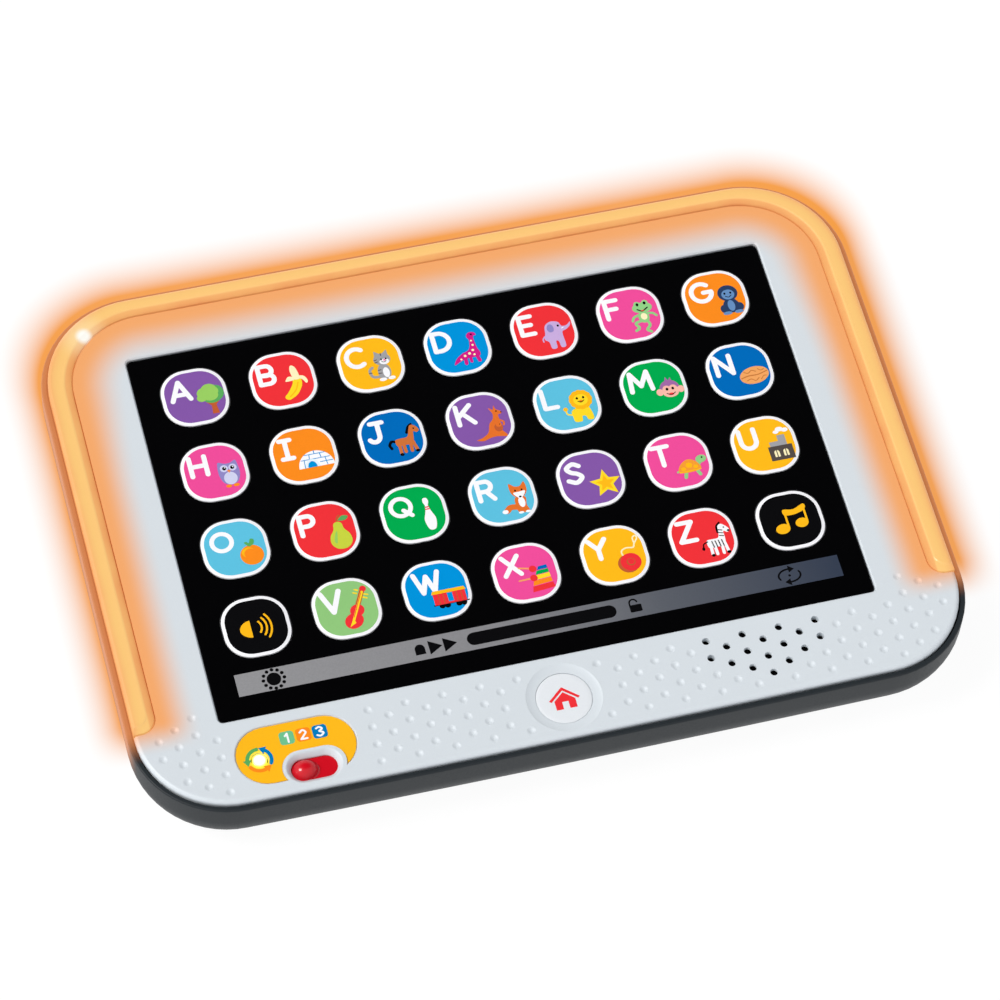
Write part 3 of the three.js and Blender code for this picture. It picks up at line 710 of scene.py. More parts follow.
# ------------------------------------------------------------------ rear housing
def quarter(wall, side, steps=16):
    """(height, inset) up the quarter round from the rear face to the side wall."""
    made = []
    for i in range(steps + 1):
        a = math.radians(90 * i / steps)
        inset = REAR_ROUND - (REAR_ROUND - side) * math.sin(a)
        height = REAR_ROUND - (REAR_ROUND - wall) * math.cos(a)
        made.append((height, inset))
    return made


def door_outline(grow, steps=6):
    x, y = DOOR_HALF[0] + grow, DOOR_HALF[1] + grow
    return rounded_box(-x, x, BAY_Y - y, BAY_Y + y, 2.5 + grow, steps)


def make_housing():
    steps = quarter(0, 0)
    steps += [(RIM_TOP - 0.6, 0.0), (RIM_TOP - 0.25, 0.08), (RIM_TOP - 0.07, 0.25)]
    steps += [(RIM_TOP, 0.5), (RIM_TOP, 1.2), (RIM_TOP - 0.1, 1.45), (RIM_TOP - 0.35, 1.6)]
    steps += [(SHELF, RIM_WALL), (SHELF, SIDE_WALL)]
    steps += quarter(WALL, SIDE_WALL)[::-1]
    obj = mesh_object("rear_shell", Shell().layers(outline, steps), [housing_plastic])

    for x, y, low, high in ((28.3, 19.2, 1.2, 15.8), (30.5, 21.4, 1.1, 3.6)):
        carve(obj, Shell().block(-x, x, BAY_Y - y, BAY_Y + y, low, high), "UNION")
    grown = Shell().turned(*DOOR_SCREW, [(8, 1.3), (8, 10)])
    for x, y in CASE_SCREWS:
        grown.turned(x, y, [(4.4, 1.8), (4.4, 15)], steps=32)
    for x, y in BOARD_POSTS:
        grown.turned(x, y, [(2.8, 1.6), (2.5, 16.8)], steps=24)
    for x in (-110.2, 110.2):
        grown.turned(x, 74.2, [(2.2, 5.5), (2, 17.1)], steps=24)
    carve(obj, grown, "UNION")

    carve(obj, Shell().block(-26.5, 26.5, BAY_Y - 17.4, BAY_Y + 17.4, -1, 14.4))
    carve(obj, Shell().layers(door_outline, [(-1, 0.9), (0.12, 0.45), (0.4, 0.4), (2.0, 0.4)]))
    carve(obj, Shell().turned(*DOOR_SCREW, [(6.7, -1), (6.35, 0.12), (6.3, 0.4), (6.3, 2.0)]))
    cuts = Shell().turned(*DOOR_SCREW, [(5.7, -1), (5.7, 4.4), (1.8, 4.4), (1.8, 9)])
    for x in (-14, 14):
        cuts.block(x - 4.5, x + 4.5, 26.9, 32.5, 1.9, 4.4)
    for x, y in CASE_SCREWS:
        cuts.turned(x, y, [(4.2, -1), (3.75, 0.55), (3.4, 1.0), (3.4, 6), (1.8, 6), (1.8, 16)])
    cuts.rolled(-0.5, 8.25, [(1.2, -29.3), (1.2, -25.5)])
    carve(obj, cuts)
    finished(obj, "case", ["rear_housing"])


# ------------------------------------------------------------------ front bezel
def speaker_holes():
    places = []
    for column in range(-3, 4):
        away = abs(column)
        first = HOLE_TOP - (0 if away % 2 else HOLE_ROW / 2)
        for row in range(3 if away < 2 else 2):
            places.append((SPEAKER[0] + column * HOLE_PITCH, first - row * HOLE_ROW))
    return places


def clear_of_everything(p, holes):
    x, y = p
    if y < -84.2 or abs(x) < 12.6 and math.dist(p, HOME) < 13.5:
        return False
    if min(math.dist(p, h) for h in holes) < 2.6:
        return False
    for (at_x, at_y, half, r), gap in ((LABEL, 2.2), (WELL, 2.0)):
        spine = max(abs(x - at_x) - (half - r), 0)
        if math.hypot(spine, y - at_y) < r + gap:
            return False
    return True


# Heights of the dimples in every second column and in the ones between, from the top one down.
DOT_ROWS_EVEN = (-65.87, -71.57, -77.27, -82.97)
DOT_ROWS_ODD = (-68.77, -74.37, -80.07)


def dimple_places():
    holes = speaker_holes()
    places = []
    for side in (-1, 1):
        for column in range(-8, 13):
            x = 45.2 + HOLE_PITCH * column
            if x < 0:
                continue
            rows = DOT_ROWS_EVEN if column % 2 == 0 else DOT_ROWS_ODD
            if 104 < x < 107:
                rows = (-57.27, -62.97, -68.67, -74.37, -80.07)
            elif 109 < x < 113:
                rows = (-60.07, -65.77, -71.47, -77.17)
            for y in rows:
                places.append((side * x, y))
        places.append((side * 116.8, -62.87))
        places.append((side * 116.8, -68.57))
    return [p for p in places if clear_of_everything(p, holes)]


def dimple_profile():
    """(radius, height) of the tool that leaves a soft-edged dimple."""
    profile = []
    for r in (0.2, 0.45, 0.7, 0.95, 1.15, 1.32, 1.5):
        deep = 0.42 * (0.5 + 0.5 * math.cos(math.pi * r / 1.55)) - 0.012
        profile.append((r, BEZEL_TOP - deep))
    return profile + [(1.5, BEZEL_TOP + 0.6)]


def opening(grow, r):
    """The bezel's opening for the screen plate."""
    return rounded_box(-98.7 - grow, 98.7 + grow, -60.6 - grow, 66.4 + grow, r)


def make_bezel():
    edge = [(23.0, 2.0), (23.9, 2.0), (24.25, 2.12), (24.6, 2.36), (24.86, 2.75), (25.0, 3.25)]
    obj = mesh_object("front_shell", Shell().layers(outline, edge), [bezel_plastic])
    section = [(22.1, 2.0), (23.3, 2.0), (23.3, 3.6), (22.1, 3.6)]
    skirt = Shell().layers(outline, section, ring_closed=True)
    ring = mesh_object("ring", skirt)
    carve(ring, Shell().block(-140, 140, -63.1, 100, 20, 26))
    more = Shell().layers(lambda g: opening(g, 3), [(21.2, 2.8), (23.3, 2.8)])
    for x, y in CASE_SCREWS:
        more.turned(x, y, [(3.6, 15.3), (3.6, 23.3)], steps=32)
    more.turned(*SPEAKER, [(14.9, 20.5), (14.9, 23.3)])
    carve(obj, more.take(ring), "UNION", True)
    carve(obj, Shell().layers(lambda g: border(g, g), [(18, -0.3), (30, -0.3)]))
    steps = [(24.42, 0.2), (24.75, 0.22), (25.02, 0.5), (25.6, 1.1)]
    label = mesh_object("label_tool", Shell().layers(lambda g: obround(LABEL, g), steps))
    carve(label, Shell().layers(lambda g: obround(WELL, g), [(24, 0.1), (27, -0.15)]))
    carve(obj, Shell().take(label))

    steps = [(15, -2.2), (22.4, -2.2), (22.4, 0), (24.6, 0), (25.02, 0.42), (25.6, 1.0)]
    cuts = Shell().layers(lambda g: opening(g, 1.5 + max(g, 0)), steps)
    dish = [(8.3, 20), (8.3, 24.35), (8.5, 24.4), (9.2, 24.46), (10.0, 24.6), (10.7, 24.78)]
    dish += [(11.15, 24.95), (11.4, 25.06), (11.6, 25.6)]
    cuts.turned(*HOME, dish, steps=72)
    cuts.turned(LED[0], LED[1], [(2.5, 20), (2.5, 26.5)], steps=32)
    half = SLOT[2] - SLOT[3]

    def slot(r):
        return obround((SLOT[0], SLOT[1], half + r, r), 0, 16)

    flare = [(20, 3.5), (23.3, 3.5), (23.5, 3.58), (24.0, 3.95), (24.5, 4.4), (24.8, 4.7)]
    flare += [(24.95, 4.95), (25.04, 5.2), (25.6, 5.3)]
    cuts.layers(slot, flare)
    for hole in speaker_holes():
        cuts.turned(*hole, [(1.1, 22.6), (1.1, 24.86), (1.2, 25.02), (1.3, 25.4)], steps=24)
    for screw_place in CASE_SCREWS:
        cuts.turned(*screw_place, [(1.7, 10), (1.7, 21)], steps=24)
    carve(obj, cuts)
    carve(obj, Shell().turned(*SPEAKER, [(13.9, 20), (13.9, 23.8)], steps=64))
    dots = Shell()
    for dot in dimple_places():
        dots.turned(*dot, dimple_profile(), steps=24)
    carve(obj, dots)
    finished(obj, "case", ["front_bezel"], 40)


def make_border():
    profile = [(22.1, 0, 0), (25.05, 0, 0), (25.3, 0.03, 0.12), (25.5, 0.12, 0.72)]
    profile += [(25.68, 0.28, 1.5), (25.76, 0.4, 1.9), (25.9, 0.66, 2.16), (25.97, 0.9, 2.4)]
    profile += [(26.0, 1.2, 2.7)]
    obj = mesh_object("light_guide", Shell().layers(border, profile), [amber])
    carve(obj, Shell().layers(lambda g: border(0.3, g), [(21.95, -2), (22.7, -2)]), "UNION")
    finished(obj, "case", ["light_border"], 26)


# ------------------------------------------------------------------ screen
KEY_NAMES = ["abcdefg", "hijklmn", "opqrstu", ["sound", "v", "w", "x", "y", "z", "music"]]
KEY_PLACES = {
    name: ((column - 3) * KEY_PITCH, TOP_KEYS_Y - row * KEY_PITCH)
    for row, names in enumerate(KEY_NAMES)
    for column, name in enumerate(names)
}
STRIP_TOP = SCREEN_TOP + 0.012
ICON_TOP = SCREEN_TOP + 0.024


def make_screen():
    shell = Shell().layers(
        lambda g: rounded_box(-98.4 + g, 98.4 - g, -60.3 + g, 66.1 - g, 1.5),
        [(SCREEN_LOW.z, 0), (SCREEN_TOP - 0.12, 0), (SCREEN_TOP, 0.12)],
    )
    obj = mesh_object("screen_glass", shell, [black_gloss, silver, ink("ink")])
    cuts = Shell()
    for x, y in KEY_PLACES.values():
        cuts.layers(
            lambda g, x=x, y=y: square(x, y, KEY_HALF + g, KEY_CORNER + g, 12),
            [(20, 0.3), (SCREEN_TOP - 0.06, 0.3), (SCREEN_TOP + 0.5, 0.86)],
        )
    carve(obj, cuts)
    finished(obj, "case", ["screen_plate"], 32)

    low = SCREEN_TOP - 0.3
    art = Shell()
    art.printed([rounded_box(-STRIP_HALF, STRIP_HALF, -53.1, -45.8, 0.1, 1)], low, STRIP_TOP, 0)
    marks = [obround((0, STRIP_Y, 22.5, 2.1)), circle(-80, STRIP_Y, 2.1)]
    marks += [circle(*at, 0.55, 12) for at in circle(-80, STRIP_Y, 3.1, 12)]
    marks.append([(-38.1, -51.2), (-35.1, -51.2)] + arc(-36.6, -49.3, 1.5, 0, 180, 10))
    for x in (-33.9, -29.5):
        marks.append([(x, -51.8), (x + 4.0, STRIP_Y), (x, -47.2)])
    marks.append(rounded_box(26.5, 30.1, -51.3, -48.9, 0.3, 3))
    hasp = arc(27.9, -48.2, 1.15, 10, 180, 8)
    marks += stroke(0.5, *hasp, (26.75, -49))
    marks.append(circle(75.4, STRIP_Y, 0.4, 12))
    for way in (1, -1):
        loop = [(75.4 + way * px, STRIP_Y + way * py) for px, py in arc(0, 0, 3.3, 82, 205, 12, 2.2)]
        marks += stroke(0.55, *loop)
        head = [(0.1, 3.4), (0.1, 1.0), (1.9, 2.0)]
        marks.append([(75.4 + way * px, STRIP_Y + way * py) for px, py in head])
    art.printed(marks, low, ICON_TOP, 1)
    print_on("screen_print", art, [silver, ink("ink")], "case")


# ------------------------------------------------------------------ letters and pictures
# Centre lines in a box about 5 wide and 6.4 high: x and y by turns, a comma between two lines.
STRAIGHT_LETTERS = {
    "a": "0 0 2.75 6.4 5.5 0, 1 1.9 4.5 1.9",
    "e": "3.7 6.4 0 6.4 0 0 3.8 0, 0 3.3 3.3 3.3",
    "f": "3.7 6.4 0 6.4 0 0, 0 3.3 3.2 3.3",
    "i": "2 0 2 6.4, 0.4 6.4 3.6 6.4, 0.4 0 3.6 0",
    "l": "0 6.4 0 0 3.7 0",
    "m": "0 0 0.6 6.4 3.2 1.6 5.8 6.4 6.4 0",
    "n": "0 0 0 6.4 4.7 0 4.7 6.4",
    "t": "0 6.4 4.8 6.4, 2.4 6.4 2.4 0",
    "v": "0 6.4 2.6 0 5.2 6.4",
    "w": "0 6.4 1.9 0 3.6 5.4 5.3 0 7.2 6.4",
    "x": "0 6.4 4.8 0, 4.8 6.4 0 0",
    "y": "0 6.4 2.5 3.1 5 6.4, 2.5 3.1 2.5 0",
    "z": "0.3 6.4 4.6 6.4 0.2 0 4.8 0",
    "1": "0.6 4.6 2.2 6.2 2.2 0",
}


def letter_strokes(name):
    """The centre lines of a letter or a digit."""
    if name in STRAIGHT_LETTERS:
        lines = STRAIGHT_LETTERS[name].split(",")
        return [pairs([float(n) for n in line.split()]) for line in lines]
    stem = [(0, 0), (0, 6.4)]
    tail_of_s = [(3.3, 2.9), (4.4, 1.5), (2.5, -0.05), (0.2, 0.9)]
    bowl = [(0, 6.4), (2.3, 6.4)] + arc(2.3, 4.7, 1.75, 90, -90, 8)[1:] + [(0, 2.95)]
    letters = {
        "b": [
            stem,
            bowl[:-1] + [(0, 3.2)],
            [(0, 3.2), (2.7, 3.2)] + arc(2.7, 1.6, 1.6, 90, -90, 8) + [(0, 0)],
        ],
        "c": [arc(3.0, 3.2, 3.0, 52, 308, 16, 3.2)],
        "d": [stem, [(0, 6.4), (1.6, 6.4)] + arc(1.6, 3.2, 3.2, 90, -90, 12) + [(0, 0)]],
        "g": [arc(3.1, 3.2, 3.1, 48, 350, 18, 3.2) + [(6.1, 3.1), (3.7, 3.1)]],
        "h": [stem, [(4.6, 0), (4.6, 6.4)], [(0, 3.3), (4.6, 3.3)]],
        "j": [[(1.2, 6.4), (4.8, 6.4)], [(3.3, 6.4)] + arc(1.6, 1.8, 1.7, 0, -150, 8, 1.9)],
        "k": [stem, [(4.3, 6.4), (0.2, 2.7)], [(1.6, 3.9), (4.7, 0)]],
        "o": [arc(3.2, 3.2, 3.2, 0, 360, 24)],
        "p": [stem, bowl],
        "q": [arc(3.2, 3.2, 3.2, 0, 360, 24), [(3.9, 1.9), (6.2, -0.3)]],
        "r": [stem, bowl, [(2.3, 2.95), (4.3, 0)]],
        "s": [flowing([(4.3, 5.5), (2.5, 6.45), (0.5, 5.2), (1.5, 3.7)] + tail_of_s)],
        "u": [[(0, 6.4)] + arc(2.3, 2.3, 2.3, 180, 360, 12) + [(4.6, 6.4)]],
        "2": [flowing([(0.2, 4.9), (2.2, 6.3), (4.0, 4.6), (2.6, 2.6), (0.3, 0.1)]), [(0.3, 0), (4.3, 0)]],
        "3": [
            flowing([(0.3, 5.6), (2.2, 6.3), (3.9, 4.9), (1.9, 3.4)]),
            flowing([(1.9, 3.4), (4.3, 1.8), (2.2, -0.05), (0.1, 0.7)]),
        ],
    }
    return letters[name]


def lettering(name, width=1.5):
    return [piece for line in letter_strokes(name) for piece in stroke(width, *line)]


def oval(x, y, rx, ry=None, turn=0):
    ry = rx if ry is None else ry
    c, s = math.cos(math.radians(turn)), math.sin(math.radians(turn))
    return [[(x + a * c - b * s, y + a * s + b * c) for a, b in circle(0, 0, rx, 26, ry)]]


def shape(*points):
    area = sum(a[0] * b[1] - b[0] * a[1] for a, b in zip(points, points[1:] + points[:1]))
    return [list(points) if area > 0 else list(points)[::-1]]


def soft(*points):
    return shape(*blob(points))


def face(x, y, size=1.0):
    """Two eyes and a smile."""
    made = []
    for side in (-0.85, 0.85):
        made += oval(x + side * size, y + 0.35 * size, 0.3 * size, 0.38 * size)
    smile = [(x - 0.8 * size, y - 0.55 * size), (x, y - 0.95 * size), (x + 0.8 * size, y - 0.5 * size)]
    return made + brush(0.24 * size, *smile)


def star(x, y, r, inner):
    made = []
    for i in range(10):
        a = math.radians(90 + 36 * i)
        reach = r if i % 2 == 0 else inner
        made.append((x + reach * math.cos(a), y + reach * math.sin(a)))
    return shape(*made)


def zebra_stripes():
    made = []
    for x in (2.2, 3.2, 4.2, 5.2):
        made += stroke(0.34, (x, -1.9), (x + 0.25, -4.0))
    for y in (-0.4, 0.6, 1.6):
        made += stroke(0.32, (5.0, y), (6.2, y - 0.35))
    return made


def window(x, y, r, base):
    """A window with a round top."""
    return shape((x - r, base), (x + r, base), *arc(x, y, r, 0, 180, 8))


def mane(x, y, across, up, r):
    """Twelve round tufts on an oval."""
    turns = [TAU * i / 12 for i in range(12)]
    return [p for a in turns for p in oval(x + across * math.cos(a), y + up * math.sin(a), r)]


DRAW = {
    "shape": lambda *n: shape(*pairs(n)),
    "soft": lambda *n: soft(*pairs(n)),
    "stroke": lambda width, *n: stroke(width, *pairs(n)),
    "brush": lambda width, *n: brush(width, *pairs(n)),
    "arch": lambda x, y, r, a, b, steps, ry: shape(*arc(x, y, r, a, b, int(steps), ry)),
    "wave": lambda width, x, y, r, a, b, steps: stroke(width, *arc(x, y, r, a, b, int(steps))),
    "oval": oval,
    "star": star,
    "face": face,
    "mane": mane,
    "window": window,
    "stripes": zebra_stripes,
}


def pictures_from(text):
    """Reads the pictures: @key and what it shows, then each layer of print as a colour and its
    shapes. A shape is a kind from DRAW and numbers in millimetres from the key's middle."""
    pictures = {}
    for line in text.replace(",", " ").splitlines():
        for word in line.split():
            if word[0] == "@":
                layers = pictures[word[1:]] = []
                break
            if word[-1] == ":":
                layers.append((word[:-1], []))
            elif word.isalpha():
                layers[-1][1].append([word])
            else:
                layers[-1][1][-1].append(float(word))
    return {
        name: [(colour, [p for kind, *n in shapes for p in DRAW[kind](*n)]) for colour, shapes in layers]
        for name, layers in pictures.items()
    }


